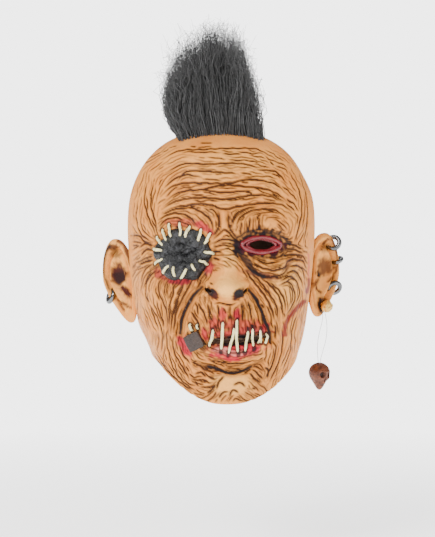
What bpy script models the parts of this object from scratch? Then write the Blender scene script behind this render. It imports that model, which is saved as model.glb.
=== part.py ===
"""Punk latex mask: a hollow pull-over head with its ears, an eye patch, a mouth tag,
four ear rings, a lobe stud with a thread and a skull pendant, and a mohawk.

Units are metres, +Z is up, and the face looks along -Y. The origin is the inside of
the crown, where the head that wears the mask sits.
"""
import math
from types import SimpleNamespace

import bmesh
import bpy
import numpy as np
from mathutils import Matrix, Vector
from mathutils.bvhtree import BVHTree

# Driving sizes of the latex head
HALF_WIDTH = 0.0975
FRONT_DEPTH = 0.105
BACK_DEPTH = 0.118
SKIN_HEIGHT = 0.281
WALL = 0.0024
FACE_WALL_EXTRA = 0.0007
RELIEF = 0.010
SIDE_RIM_DROP = 0.2345
FRONT_RIM_DROP = 0.0464
BACK_RIM_DROP = 0.010
RIM_POWER = 1.8
FRONT_SQUARENESS = 2.35
BACK_SQUARENESS = 2.1
CAVITY_PAST_RIM = 0.012
SEAT_GAP = 0.0004

# Cosines of the turn between which the relief of the face fades in
FACE_FADE = (0.15, 0.60)

# Driving sizes of the openings
EYE_HALF_LENGTH = 0.0135
EYE_HALF_HEIGHT = 0.0055
NOSTRIL_RADIUS = 0.0032
MOUTH_SLIT_HEIGHT = 0.0032
EYE_TAPER = 0.25
NOSTRIL_RISE = 0.30
CUTTER_REACH = 0.03
MOUTH_CUTTER_DEPTH = 0.055

# Driving sizes of the ears and what they carry
EAR_HALF_HEIGHT = 0.0445
EAR_HALF_WIDTH = 0.0240
EAR_SET_IN = 0.003
EAR_THICKNESS = 0.0036
HELIX_ROLL = 0.0036
CONCHA_DEPTH = 0.0075
CONCHA_BACK = 0.012
RING_RADIUS = 0.0064
RING_TUBE = 0.0025
SMALL_RING_RADIUS = 0.0048
SMALL_RING_TUBE = 0.0021
RING_CLEARANCE = 0.0004
NUGGET_RADIUS = 0.0062
POST_RADIUS = 0.0007
POST_CLEARANCE = 0.0004
POST_LENGTH = 0.0075
POST_HOLE_ABOVE = 0.004
POST_HOLE_BELOW = 0.006
THREAD_STAND_OFF = 0.0032
THREAD_DIAMETER = 0.0005
PENDANT_HEIGHT = 0.029
PENDANT_WIDTH = 0.0215
PENDANT_DEPTH = 0.0235
PENDANT_BORE_RADIUS = 0.0016
PENDANT_BORE_RISE = 0.004
PENDANT_SINK = 0.0040
PENDANT_SWING = math.radians(38.0)
NUGGET_BACK = 0.78

# Driving sizes of what is fixed to the face and the crown
PATCH_HALF_WIDTH = 0.0278
PATCH_HALF_HEIGHT = 0.0272
PATCH_DOME = 0.0058
PATCH_EDGE = 0.0016
TAG_SIDE = 0.0172
TAG_THICKNESS = 0.0060
TAG_BEVEL = 0.0012
TAG_SINK = 0.012
TAG_TURN = math.radians(27.0)
HAIR_FRONT = -0.046
HAIR_BACK = 0.086
HAIR_HALF_WIDTH = 0.0455
HAIR_BACK_NARROWING = 0.35
HAIR_HEIGHT = 0.103
BACKING_THICKNESS = 0.0030
BACKING_SINK = 0.012
LOCK_RADIUS = 0.0125
LOCK_SINK = 0.004
LOCK_STAGGER = 0.004
LOCK_BEND_OUT = 0.004
LOCK_BEND_ROW = 0.0013
LOCK_BEND_BACK = 0.002
LOCK_LENGTHENING = 1.65

# Shares of SKIN_HEIGHT down where the crowded crown rows and the level rows end
CROWN_ROWS_END = 0.30
LEVEL_ROWS_END = 0.62
CROWN_ROWS_POWER = 1.6

# Faces of the meshes
SKIN_COLUMNS = 48
CAVITY_COLUMNS = 34
SKIN_ROWS = (8, 12, 13)
CAVITY_ROWS = (6, 9, 13)
FRONT_CROWDING = 0.54
EAR_SIDES = 20
EYE_SIDES = 16
NOSTRIL_SIDES = 8
RING_SIDES = 14
TUBE_SIDES = 6
POST_SIDES = 10
PENDANT_BORE_SIDES = 12
BACKING_STEPS = 12
BACKING_INSETS = (0.35, 0.70, 1.0)
PATCH_BACK_INSETS = (1.0, 0.5)

# Head sections from the crown down. The first column is a share of SKIN_HEIGHT,
# left and right are shares of HALF_WIDTH, front of FRONT_DEPTH, back of BACK_DEPTH.
SECTION_COLUMNS = ("down", "left", "right", "front", "back")
SECTIONS = (
    (0.000, 0.000, 0.000, 0.000, 0.000),
    (0.008, 0.270, 0.260, 0.240, 0.290),
    (0.032, 0.504, 0.482, 0.440, 0.530),
    (0.085, 0.725, 0.705, 0.660, 0.760),
    (0.165, 0.890, 0.865, 0.815, 0.900),
    (0.250, 0.975, 0.970, 0.900, 0.970),
    (0.350, 1.000, 0.997, 0.950, 1.000),
    (0.450, 0.990, 0.985, 0.950, 0.985),
    (0.550, 0.965, 0.960, 0.945, 0.930),
    (0.660, 0.915, 0.920, 0.950, 0.830),
    (0.730, 0.870, 0.890, 0.945, 0.765),
    (0.780, 0.800, 0.858, 0.935, 0.725),
    (0.830, 0.745, 0.813, 0.915, 0.700),
    (0.900, 0.705, 0.770, 0.870, 0.690),
    (1.000, 0.665, 0.730, 0.780, 0.690),
    (1.100, 0.640, 0.705, 0.680, 0.690),
)

# Bumps and hollows of the face. Across and wide are shares of HALF_WIDTH, down and
# tall of SKIN_HEIGHT, proud of RELIEF. A blunt form has a flatter top than a bell.
FEATURE_COLUMNS = ("across", "down", "wide", "tall", "proud", "blunt")
FEATURES = (
    (-0.390, 0.358, 0.310, 0.039, 0.60, 2.0),  # left brow
    (0.370, 0.354, 0.280, 0.039, 0.65, 2.0),  # right brow
    (0.000, 0.365, 0.110, 0.046, 0.30, 2.0),  # between the brows
    (-0.430, 0.450, 0.250, 0.057, -0.45, 2.0),  # left eye socket, under the patch
    (0.370, 0.429, 0.220, 0.043, -0.90, 2.0),  # right eye socket
    (0.430, 0.511, 0.220, 0.032, 0.40, 2.0),  # bag under the right eye
    (-0.600, 0.571, 0.200, 0.085, 0.40, 2.0),  # left cheekbone
    (0.600, 0.571, 0.200, 0.085, 0.40, 2.0),  # right cheekbone
    (-0.015, 0.490, 0.125, 0.085, 1.15, 2.4),  # bridge of the nose
    (-0.020, 0.585, 0.165, 0.050, 1.60, 2.8),  # ball of the nose
    (-0.020, 0.592, 0.270, 0.034, 1.00, 3.0),  # wings of the nose
    (0.000, 0.738, 0.430, 0.092, 0.65, 2.0),  # muzzle
    (-0.570, 0.685, 0.140, 0.085, 0.40, 2.0),  # left cheek pad
    (0.530, 0.685, 0.140, 0.085, 0.40, 2.0),  # right cheek pad
    (0.080, 0.767, 0.410, 0.024, -0.55, 2.0),  # groove of the mouth
    (0.100, 0.813, 0.250, 0.028, 0.40, 2.0),  # lower lip
    (0.040, 0.868, 0.330, 0.026, -0.40, 2.0),  # crease over the chin
    (0.040, 0.927, 0.250, 0.046, 0.75, 2.0),  # chin
)

# Two long folds from the nose to the corners of the mouth, as across and down shares.
FOLD_WIDTH = 0.0062
FOLD_DEPTH = 0.0042
FOLDS = (
    ((-0.274, 0.580), (-0.420, 0.645), (-0.486, 0.701), (-0.492, 0.758)),
    ((0.236, 0.588), (0.328, 0.651), (0.387, 0.708), (0.444, 0.743)),
)

# Places on the face, as shares of HALF_WIDTH across and of SKIN_HEIGHT down.
EYE_PLACE = (0.365, 0.431)
PATCH_PLACE = (-0.450, 0.463)
TAG_PLACE = (-0.335, 0.771)
NOSTRIL_PLACES = ((-0.205, 0.592), (0.160, 0.592))
MOUTH_SLIT = ((-0.175, 0.771), (0.120, 0.770), (0.400, 0.755))

# Edge of the patch by angle, as shares of its half width and half height.
PATCH_EDGE_SHARES = (1.00, 0.94, 0.99, 0.96, 0.86, 0.99, 0.88, 1.00, 1.05, 0.93, 1.02, 1.04,
                     0.90, 1.03, 0.95, 0.90)

# Rings of the patch from its middle to its edge, and how much of PATCH_DOME they have.
PATCH_PROFILE_COLUMNS = ("ring", "proud")
PATCH_PROFILE = ((0.30, 0.86), (0.58, 0.95), (0.82, 0.62), (1.00, 0.12))
PATCH_MIDDLE = 0.62
PATCH_LUMPS = 0.16
PATCH_LUMP_COUNT = 5.0
PATCH_LUMP_TWIST = 6.0
PATCH_SINK = 0.004

# Ears: side, height of the middle as a share of SKIN_HEIGHT down, lean of the long
# axis, how far the ear stands open from the side of the head, and how far its lobe
# runs in towards the head as a share of EAR_HALF_WIDTH.
EAR_COLUMNS = ("side", "down", "lean", "open", "lobe_in")
EARS = {
    "left": (-1.0, 0.560, math.radians(11.0), math.radians(42.0), 0.42),
    "right": (1.0, 0.538, math.radians(7.0), math.radians(52.0), 0.12),
}

# Outline of an ear: its middle and its widest place as shares of EAR_HALF_WIDTH from
# the head, and how the lobe narrows and rounds off.
EAR_MIDDLE = 0.80
EAR_REACH = 0.86
LOBE_NARROWING = 0.42
LOBE_ROUNDING = 0.25
LOBE_POWER = 1.3
LOBE_FLATNESS = 4

# Relief of an ear's face by the share of the way from its middle to its edge: rim and
# ridge as shares of HELIX_ROLL, bowl of CONCHA_DEPTH, and hump behind of CONCHA_BACK.
EAR_RELIEF_COLUMNS = ("ring", "wide", "height")
EAR_RELIEF = {
    "rim": (0.90, 0.13, 1.0),
    "ridge": (0.55, 0.14, 0.6),
    "bowl": (0.00, 0.42, -1.0),
    "hump": (0.00, 0.50, -1.0),
}
RIDGE_FADE = 0.4
EAR_EDGE_STEEPNESS = 6.0
EAR_FRONT_RINGS = (0.22, 0.45, 0.62, 0.80, 0.94, 1.00)
EAR_BACK_RINGS = (0.96, 0.72, 0.45, 0.20)

# Rings: ear, angle round the ear, radius, tube, roll of the ring about its spoke.
# A ring's centre lies at RING_SEAT of the way from the ear's middle to its edge.
RING_SEAT = 0.97
RING_SEAT_INNER = 0.80
RING_COLUMNS = ("ear", "round", "radius", "tube", "roll")
RINGS = {
    "ear_ring_left": ("left", math.radians(-22.0), RING_RADIUS, RING_TUBE, math.radians(-55.0)),
    "ear_ring_top": ("right", math.radians(52.0), RING_RADIUS, RING_TUBE, math.radians(35.0)),
    "ear_ring_middle": ("right", math.radians(21.0), SMALL_RING_RADIUS, SMALL_RING_TUBE, 0.0),
    "ear_ring_low": ("right", math.radians(-19.0), RING_RADIUS, RING_TUBE, math.radians(-55.0)),
}

# Place of the stud on the lobe of the right ear, as shares of the ear's half sizes.
STUD_PLACE = (0.12, -0.74)
STUD_ROUND = math.radians(-88.0)

# Lumps of the nugget: how high, and how fast they change from point to point.
NUGGET_LUMPS = ((0.10, 2.4), (0.07, 5.1))

# Route of the thread from the middle of the post that it hangs on: metres outwards
# along the ear, out of its face, and up. The last turn sits in the pendant's bore.
THREAD_COLUMNS = ("outward", "face", "up")
THREAD_TURN = (-0.0021, -0.0028, -0.0640)
THREAD_ROUTE = (
    (-0.00035, 0.0000, 0.00122),
    (-0.00110, 0.0000, 0.00064),
    (-0.00128, 0.0000, -0.0004),
    (-0.00130, 0.0005, -0.0030),
    (-0.0014, 0.0016, -0.0100),
    (-0.0018, 0.0012, -0.0160),
    (-0.0024, -0.0012, -0.0250),
    (-0.0031, -0.0036, -0.0360),
    (-0.0034, -0.0044, -0.0480),
    (-0.0028, -0.0038, -0.0590),
    (-0.0027, -0.0036, -0.0630),
    (-0.00245, -0.0033, -0.0637),
    (-0.0021, -0.0028, -0.0640),
    (-0.00175, -0.0023, -0.0637),
    (-0.0015, -0.0020, -0.0630),
    (-0.0015, -0.0020, -0.0590),
    (0.0002, 0.0002, -0.0480),
    (0.0022, 0.0026, -0.0360),
    (0.0030, 0.0036, -0.0220),
    (0.0022, 0.0026, -0.0110),
    (0.00140, 0.0006, -0.0030),
    (0.00128, 0.0000, -0.0004),
    (0.00110, 0.0000, 0.00064),
    (0.00035, 0.0000, 0.00122),
)
THREAD_POINTS_EACH = 3

# The skull: share of its height over its widest place, how its jaw narrows and
# shallows, and its hollows in a ball of radius 1: across, up, wide, tall and how deep.
PENDANT_CASE = 0.36
PENDANT_JAW_NARROWING = 0.42
PENDANT_JAW_SHALLOWING = 0.35
PENDANT_JAW = (0.05, 0.9)
HOLLOW_COLUMNS = ("across", "up", "wide", "tall", "deep")
PENDANT_HOLLOWS = (
    (0.38, -0.10, 0.20, 0.20, 0.24),  # eyes
    (0.00, -0.38, 0.13, 0.14, 0.12),  # nose
)

# Locks of the mohawk. Across the strip: root and tip as shares of HAIR_HALF_WIDTH,
# and tip height as a share of HAIR_HEIGHT. Along the strip: root as a share from
# front to back, tip shift backwards as a share of HAIR_HEIGHT, and height share.
LOCK_ACROSS_COLUMNS = ("root", "tip", "height")
LOCKS_ACROSS = (
    (-0.76, -1.08, 0.74),
    (-0.40, -0.64, 0.91),
    (-0.02, -0.12, 1.00),
    (0.35, 0.26, 0.93),
    (0.70, 0.47, 0.77),
)
LOCK_ALONG_COLUMNS = ("root", "back", "height")
LOCKS_ALONG = (
    (0.13, -0.05, 0.95),
    (0.40, 0.03, 1.00),
    (0.66, 0.13, 0.92),
    (0.90, 0.27, 0.70),
)
LOCK_PROFILE_COLUMNS = ("along", "radius")
LOCK_PROFILE = ((0.00, 0.95), (0.40, 1.12), (0.80, 0.90), (1.00, 0.45))
LOCK_SIDES = 6
LOCK_TIP = 0.005
LOCK_BEND_MIDDLE = 2.1
RAY_HEIGHT = 0.2


def clear_scene():
    """Remove every object, so that the script starts from an empty scene."""
    for thing in list(bpy.data.objects):
        bpy.data.objects.remove(thing, do_unlink=True)


def make_material(name, colour, roughness, metallic=0.0):
    """Return a Principled material."""
    material = bpy.data.materials.new(name)
    material.use_nodes = True
    shader = material.node_tree.nodes["Principled BSDF"]
    shader.inputs["Base Color"].default_value = (*colour, 1.0)
    shader.inputs["Roughness"].default_value = roughness
    shader.inputs["Metallic"].default_value = metallic
    return material


def named(columns, row):
    """Row of a table with each value under the name of its column."""
    return SimpleNamespace(**dict(zip(columns, row)))


def smooth_step(low, high, value):
    """Ease from 0 at low to 1 at high."""
    share = np.clip((value - low) / (high - low), 0.0, 1.0)
    return share * share * (3.0 - 2.0 * share)


def spline(knots, values, where):
    """Read a smooth curve through the knots with tangents from their neighbours."""
    knots = np.asarray(knots, float)
    values = np.asarray(values, float)
    tangents = np.gradient(values, knots)
    index = np.clip(np.searchsorted(knots, where) - 1, 0, len(knots) - 2)
    span = knots[index + 1] - knots[index]
    share = np.clip((where - knots[index]) / span, 0.0, 1.0)
    square = share * share
    cube = square * share
    return ((2 * cube - 3 * square + 1) * values[index]
            + (cube - 2 * square + share) * span * tangents[index]
            + (3 * square - 2 * cube) * values[index + 1]
            + (cube - square) * span * tangents[index + 1])


def section(down):
    """Left, right, front and back reach of the bare head at a height."""
    table = named(SECTION_COLUMNS, np.asarray(SECTIONS).T)
    knots = np.sqrt(table.down)
    where = np.sqrt(np.maximum(down, 0.0))
    left = spline(knots, table.left, where) * HALF_WIDTH
    right = spline(knots, table.right, where) * HALF_WIDTH
    front = spline(knots, table.front, where) * FRONT_DEPTH
    back = spline(knots, table.back, where) * BACK_DEPTH
    return left, right, front, back


def polyline_distance(across, down, points):
    """Distance in metres from each place to a line through the points."""
    best = np.full(np.shape(across), 1.0)
    for start, end in zip(points[:-1], points[1:]):
        start = np.array((start[0] * HALF_WIDTH, start[1] * SKIN_HEIGHT))
        run = np.array((end[0] * HALF_WIDTH, end[1] * SKIN_HEIGHT)) - start
        share = ((across - start[0]) * run[0] + (down - start[1]) * run[1]) / run.dot(run)
        share = np.clip(share, 0.0, 1.0)
        gap = np.hypot(across - start[0] - share * run[0], down - start[1] - share * run[1])
        best = np.minimum(best, gap)
    return best


def face_relief(across, down):
    """How far the face stands out of the bare head, from metres across and down."""
    relief = np.zeros(np.shape(across))
    for row in FEATURES:
        form = named(FEATURE_COLUMNS, row)
        sideways = (across - form.across * HALF_WIDTH) / (form.wide * HALF_WIDTH)
        upright = (down - form.down * SKIN_HEIGHT) / (form.tall * SKIN_HEIGHT)
        reach = np.hypot(sideways, upright)
        relief = relief + form.proud * RELIEF * np.exp(-reach ** form.blunt)
    for points in FOLDS:
        gap = polyline_distance(across, down, points)
        relief = relief - FOLD_DEPTH * np.exp(-(gap / FOLD_WIDTH) ** 2)
    return relief


def head_point(turn, down, held_back=0.0):
    """Point on the outer skin. Turn is 0 at the face and grows towards +X, down is a
    share of SKIN_HEIGHT, and the face can be held back for the inside."""
    turn = np.asarray(turn, float)
    down = np.asarray(down, float)
    left, right, front, back = section(down)
    cosine = np.cos(turn)
    sine = np.sin(turn)
    square = np.where(cosine > 0.0, FRONT_SQUARENESS, BACK_SQUARENESS)
    reach = np.where(sine > 0.0, right, left)
    x = np.sign(sine) * reach * np.abs(sine) ** (2.0 / square)
    depth = np.where(cosine > 0.0, front, back)
    y = -np.sign(cosine) * depth * np.abs(cosine) ** (2.0 / square)
    facing = smooth_step(*FACE_FADE, cosine)
    y = y - facing * (face_relief(x, down * SKIN_HEIGHT) - held_back)
    z = WALL - down * SKIN_HEIGHT
    return np.stack(np.broadcast_arrays(x, y, z), axis=-1)


def head_normal(turn, down):
    """Outward direction of the skin, from small steps along it."""
    step = 0.004
    lower = np.maximum(np.asarray(down, float) - step, 0.0)
    along = head_point(turn + step, down) - head_point(turn - step, down)
    below = head_point(turn, np.asarray(down, float) + step) - head_point(turn, lower)
    normal = np.cross(along, -below)
    return normal / np.linalg.norm(normal, axis=-1, keepdims=True)


def rim_share(turn):
    """Height of the lower rim as a share of SKIN_HEIGHT down."""
    cosine = np.cos(turn)
    front = FRONT_RIM_DROP * np.maximum(cosine, 0.0) ** RIM_POWER
    back = BACK_RIM_DROP * np.minimum(cosine, 0.0) ** 2
    return (SIDE_RIM_DROP + front + back) / SKIN_HEIGHT


def head_rows(columns, row_counts, past_rim):
    """Turn and down of every grid point. Columns are closer together on the face, and
    below LEVEL_ROWS_END the rows lean towards the rim."""
    crown, level, lower = row_counts
    even = np.arange(columns) / columns * 2.0 * math.pi
    turn = even - FRONT_CROWDING * np.sin(even)
    crown_rows = (np.arange(1, crown + 1) / crown) ** CROWN_ROWS_POWER * CROWN_ROWS_END
    face_rows = np.arange(1, level + 1) / level * (LEVEL_ROWS_END - CROWN_ROWS_END)
    straight = np.concatenate((crown_rows, CROWN_ROWS_END + face_rows))[:, None]
    bottom = rim_share(turn) + past_rim / SKIN_HEIGHT
    follow = np.arange(1, lower + 1)[:, None] / lower
    leaning = LEVEL_ROWS_END + follow * (bottom - LEVEL_ROWS_END)
    down = np.concatenate((np.repeat(straight, columns, axis=1), leaning))
    return np.broadcast_to(turn, down.shape), down


def grid_mesh(name, rows, top, bottom):
    """Closed mesh of stacked rings between a top and a bottom point."""
    mesh = bpy.data.meshes.new(name)
    form = bmesh.new()
    rings = [[form.verts.new(point) for point in row] for row in rows]
    top = form.verts.new(top)
    bottom = form.verts.new(bottom)
    count = len(rings[0])
    for column in range(count):
        after = (column + 1) % count
        form.faces.new((top, rings[0][after], rings[0][column]))
        form.faces.new((bottom, rings[-1][column], rings[-1][after]))
        for upper, lower in zip(rings[:-1], rings[1:]):
            form.faces.new((upper[column], upper[after], lower[after], lower[column]))
    bmesh.ops.recalc_face_normals(form, faces=form.faces)
    bmesh.ops.triangulate(form, faces=[face for face in form.faces if len(face.verts) > 3])
    form.to_mesh(mesh)
    form.free()
    return mesh


def add_object(name, mesh, material=None):
    """Link a mesh to the scene as an object."""
    thing = bpy.data.objects.new(name, mesh)
    bpy.context.scene.collection.objects.link(thing)
    if material is not None:
        mesh.materials.append(material)
        mesh.shade_smooth()
        mesh.set_sharp_from_angle(angle=math.radians(50.0))
    return thing


def as_tool(thing):
    """Mark an object that only cuts or joins another."""
    thing.hide_render = True
    thing.display_type = "WIRE"
    return thing


def combine(target, tool, operation):
    """Join a tool to a solid or cut it away with an exact Boolean."""
    modifier = target.modifiers.new(tool.name, "BOOLEAN")
    modifier.operation = operation
    modifier.solver = "EXACT"
    modifier.object = as_tool(tool)
    return modifier


def head_solid(name, offset, columns, row_counts, past_rim):
    """Solid head, its skin moved out by the offset, or in where that is negative."""
    turn, down = head_rows(columns, row_counts, past_rim)
    held_back = FACE_WALL_EXTRA if offset < 0.0 else 0.0
    rows = head_point(turn, down, held_back) + offset * head_normal(turn, down)
    top = (0.0, 0.0, WALL + offset)
    bottom = (0.0, 0.0, float(rows[-1][:, 2].mean()))
    return grid_mesh(name, rows, top, bottom)


def turn_at(across, down):
    """Turn of the place on the front of the skin that lies so far across."""
    left, right, front, back = section(np.asarray(down, float))
    reach = right if across > 0.0 else left
    sine = min(abs(across) * HALF_WIDTH / float(reach), 1.0) ** (FRONT_SQUARENESS / 2.0)
    return math.copysign(math.asin(sine), across)


def place_on_face(across, down):
    """Point and outward direction on the face at a share across and a share down."""
    turn = turn_at(across, down)
    point = Vector([float(value) for value in head_point(turn, down)])
    normal = Vector([float(value) for value in head_normal(turn, down)])
    return point, normal


def prism(name, outline, near, far):
    """Straight prism along Y from an outline of x and z."""
    rows = [[(x, y, z) for x, z in outline] for y in (near, far)]
    middle_x = sum(point[0] for point in outline) / len(outline)
    middle_z = sum(point[1] for point in outline) / len(outline)
    return grid_mesh(name, rows, (middle_x, near, middle_z), (middle_x, far, middle_z))


def eye_cutter():
    """Almond-shaped hole of the right eye."""
    point, normal = place_on_face(*EYE_PLACE)
    outline = []
    for step in range(EYE_SIDES):
        angle = step / EYE_SIDES * 2.0 * math.pi
        along = math.cos(angle)
        height = EYE_HALF_HEIGHT * math.sin(angle) * (1.0 - EYE_TAPER * along * along)
        outline.append((point.x + EYE_HALF_LENGTH * along, point.z + height))
    near = point.y - CUTTER_REACH
    far = point.y + CUTTER_REACH
    return add_object("cut_eye", prism("cut_eye", outline, near, far))


def nostril_cutter(index, place):
    """Round hole that runs up into the nose."""
    point, normal = place_on_face(*place)
    axis = Vector((0.0, 1.0, NOSTRIL_RISE)).normalized()
    ends = [point - axis * CUTTER_REACH, point + axis * CUTTER_REACH]
    rows = tube_rows(ends, [NOSTRIL_RADIUS] * 2, NOSTRIL_SIDES)
    name = "cut_nostril_%d" % index
    return add_object(name, grid_mesh(name, rows, *ends))


def mouth_cutter():
    """Narrow slit between the lips."""
    upper = []
    lower = []
    for across, down in MOUTH_SLIT:
        point, normal = place_on_face(across, down)
        upper.append((point.x, point.z + MOUTH_SLIT_HEIGHT / 2.0))
        lower.append((point.x, point.z - MOUTH_SLIT_HEIGHT / 2.0))
    outline = upper + lower[::-1]
    near = point.y - CUTTER_REACH
    far = near + MOUTH_CUTTER_DEPTH
    return add_object("cut_mouth", prism("cut_mouth", outline, near, far))


def tube_rows(points, radii, sides):
    """Rings of points round a line."""
    rows = []
    points = [Vector(point) for point in points]
    side = None
    for index, point in enumerate(points):
        ahead = points[min(index + 1, len(points) - 1)]
        behind = points[max(index - 1, 0)]
        axis = (ahead - behind).normalized()
        if side is None:
            side = axis.orthogonal().normalized()
        side = (side - axis * side.dot(axis)).normalized()
        other = axis.cross(side)
        row = []
        for step in range(sides):
            angle = step / sides * 2.0 * math.pi
            spoke = side * math.cos(angle) + other * math.sin(angle)
            row.append(point + spoke * radii[index])
        rows.append(row)
    return rows


def ear_frame(ear):
    """Matrix of an ear: outwards along its sheet, up its long axis, out of its face."""
    form = named(EAR_COLUMNS, EARS[ear])
    turn = form.side * math.radians(90.0)
    root = Vector([float(value) for value in head_point(turn, form.down)])
    root.x -= form.side * EAR_SET_IN
    outward = Vector((form.side * math.sin(form.open), math.cos(form.open), 0.0))
    up = Vector((form.side * math.sin(form.lean), 0.0, math.cos(form.lean)))
    up = (up - outward * up.dot(outward)).normalized()
    face = outward.cross(up) * -form.side
    face = face.normalized()
    if face.y > 0.0:
        face = -face
    return Matrix((outward, up, face)).transposed(), root


def ear_outline(ear, angle):
    """Edge of the ear by the angle round it, in its own plane."""
    lower = max(0.0, -math.sin(angle))
    lobe = lower ** LOBE_POWER
    cosine = math.cos(angle)
    rounded = math.copysign(abs(cosine) ** (1.0 - LOBE_ROUNDING * lower), cosine)
    shift = named(EAR_COLUMNS, EARS[ear]).lobe_in * lobe
    outward = EAR_REACH - shift + (1.0 - LOBE_NARROWING * lobe) * rounded
    return EAR_HALF_WIDTH * outward, EAR_HALF_HEIGHT * math.sin(angle)


def ear_wave(name, ring):
    """One of the forms in the relief of an ear, at a share of the way to its edge."""
    form = named(EAR_RELIEF_COLUMNS, EAR_RELIEF[name])
    return form.height * math.exp(-((ring - form.ring) / form.wide) ** 2)


def ear_relief(ring, angle):
    """Height of the ear's front face: rolled rim, ridge, and bowl."""
    upper = 0.5 + 0.5 * math.sin(angle)
    lobe = max(0.0, -math.sin(angle)) ** LOBE_FLATNESS
    roll = ear_wave("rim", ring) + ear_wave("ridge", ring) * (1.0 - upper * RIDGE_FADE)
    return HELIX_ROLL * roll * (1.0 - lobe) + CONCHA_DEPTH * ear_wave("bowl", ring)


def ear_point(ear, ring, angle, back):
    """Point on the front or the back of an ear."""
    frame, root = ear_frame(ear)
    outward, up = ear_outline(ear, angle)
    middle = EAR_HALF_WIDTH * EAR_MIDDLE
    outward = middle + (outward - middle) * ring
    height = ear_relief(ring, angle)
    if back:
        height = -EAR_THICKNESS * min(1.0, (1.0 - ring) * EAR_EDGE_STEEPNESS)
        height += CONCHA_BACK * ear_wave("hump", ring)
    return root + frame @ Vector((outward, up * ring, height))


def ear_solid(ear):
    """Closed ear, sunk into the side of the head by EAR_SET_IN."""
    angles = [step / EAR_SIDES * 2.0 * math.pi for step in range(EAR_SIDES)]
    rows = [[ear_point(ear, ring, angle, False) for angle in angles]
            for ring in EAR_FRONT_RINGS]
    rows += [[ear_point(ear, ring, angle, True) for angle in angles]
             for ring in EAR_BACK_RINGS]
    top = ear_point(ear, 0.0, 0.0, False)
    bottom = ear_point(ear, 0.0, 0.0, True)
    name = "ear_" + ear
    return add_object(name, grid_mesh(name, rows, top, bottom))


def ring_mesh(name, centre, spoke, across, radius, tube, sides):
    """Ring in the plane of two directions."""
    axis = spoke.cross(across).normalized()
    mesh = bpy.data.meshes.new(name)
    form = bmesh.new()
    rings = []
    for step in range(RING_SIDES):
        angle = step / RING_SIDES * 2.0 * math.pi
        out = spoke * math.cos(angle) + across * math.sin(angle)
        row = []
        for turn in range(sides):
            swing = (turn + 0.5) / sides * 2.0 * math.pi
            offset = out * math.cos(swing) + axis * math.sin(swing)
            row.append(form.verts.new(centre + out * radius + offset * tube))
        rings.append(row)
    for step in range(RING_SIDES):
        here = rings[step]
        after = rings[(step + 1) % RING_SIDES]
        for turn in range(sides):
            follow = (turn + 1) % sides
            form.faces.new((here[turn], after[turn], after[follow], here[follow]))
    bmesh.ops.recalc_face_normals(form, faces=form.faces)
    bmesh.ops.triangulate(form, faces=form.faces)
    form.to_mesh(mesh)
    form.free()
    return mesh


def ring_frame(ear, angle, roll):
    """Centre and plane of a ring on the edge of an ear."""
    frame, root = ear_frame(ear)
    edge = ear_point(ear, RING_SEAT, angle, False)
    inner = ear_point(ear, RING_SEAT_INNER, angle, False)
    back = ear_point(ear, RING_SEAT, angle, True)
    centre = (edge + back) / 2.0
    face = frame @ Vector((0.0, 0.0, 1.0))
    spoke = edge - inner
    spoke = (spoke - face * spoke.dot(face)).normalized()
    tangent = spoke.cross(face)
    across = face * math.cos(roll) + tangent * math.sin(roll)
    return centre, spoke, across


def make_rings(skin, steel):
    """Four rings, each in its own tunnel through the ear."""
    for name, row in RINGS.items():
        ring = named(RING_COLUMNS, row)
        frame = ring_frame(ring.ear, ring.round, ring.roll)
        mesh = ring_mesh(name, *frame, ring.radius, ring.tube, TUBE_SIDES)
        add_object(name, mesh, steel)
        bore = ring.tube + RING_CLEARANCE
        tunnel = ring_mesh("tunnel_" + name, *frame, ring.radius, bore, TUBE_SIDES)
        combine(skin, add_object("tunnel_" + name, tunnel), "DIFFERENCE")


def stud_place():
    """Point where the post leaves the lobe, and the direction out of the lobe."""
    frame, root = ear_frame("right")
    outward = EAR_HALF_WIDTH * (EAR_REACH + STUD_PLACE[0])
    up = EAR_HALF_HEIGHT * STUD_PLACE[1]
    ring = abs(STUD_PLACE[1])
    height = ear_relief(ring, STUD_ROUND)
    face = frame @ Vector((0.0, 0.0, 1.0))
    return root + frame @ Vector((outward, up, height)), face


def make_stud(skin, gold):
    """Rough nugget on a plain post that goes through the lobe."""
    point, face = stud_place()
    ball = bmesh.new()
    bmesh.ops.create_icosphere(ball, subdivisions=2, radius=NUGGET_RADIUS)
    for index, vertex in enumerate(ball.verts):
        lump = 1.0 + sum(high * math.sin(index * fast) for high, fast in NUGGET_LUMPS)
        vertex.co = vertex.co * lump
        behind = -NUGGET_BACK * NUGGET_RADIUS - vertex.co.dot(face)
        if behind > 0.0:
            vertex.co += face * behind
    centre = point + face * (THREAD_STAND_OFF + NUGGET_BACK * NUGGET_RADIUS)
    bmesh.ops.translate(ball, verts=ball.verts, vec=centre)
    mesh = bpy.data.meshes.new("ear_stud")
    ball.to_mesh(mesh)
    ball.free()
    stud = add_object("ear_stud", mesh, gold)
    ends = [centre, point - face * POST_LENGTH]
    post = grid_mesh("post", tube_rows(ends, [POST_RADIUS] * 2, POST_SIDES), *ends)
    combine(stud, add_object("post", post), "UNION")
    top = point + face * POST_HOLE_ABOVE
    bottom = point - face * (POST_LENGTH + POST_HOLE_BELOW)
    bore = POST_RADIUS + POST_CLEARANCE
    rows = tube_rows([top, bottom], [bore] * 2, POST_SIDES)
    hole = grid_mesh("post_hole", rows, top, bottom)
    combine(skin, add_object("post_hole", hole), "DIFFERENCE")


def thread_place(outward, face, up):
    """World place of a point given from the middle of the post."""
    point, normal = stud_place()
    frame, root = ear_frame("right")
    away = frame @ Vector((1.0, 0.0, 0.0))
    anchor = point + normal * THREAD_STAND_OFF * 0.5
    return anchor + away * outward + normal * face + Vector((0.0, 0.0, up))


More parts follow.
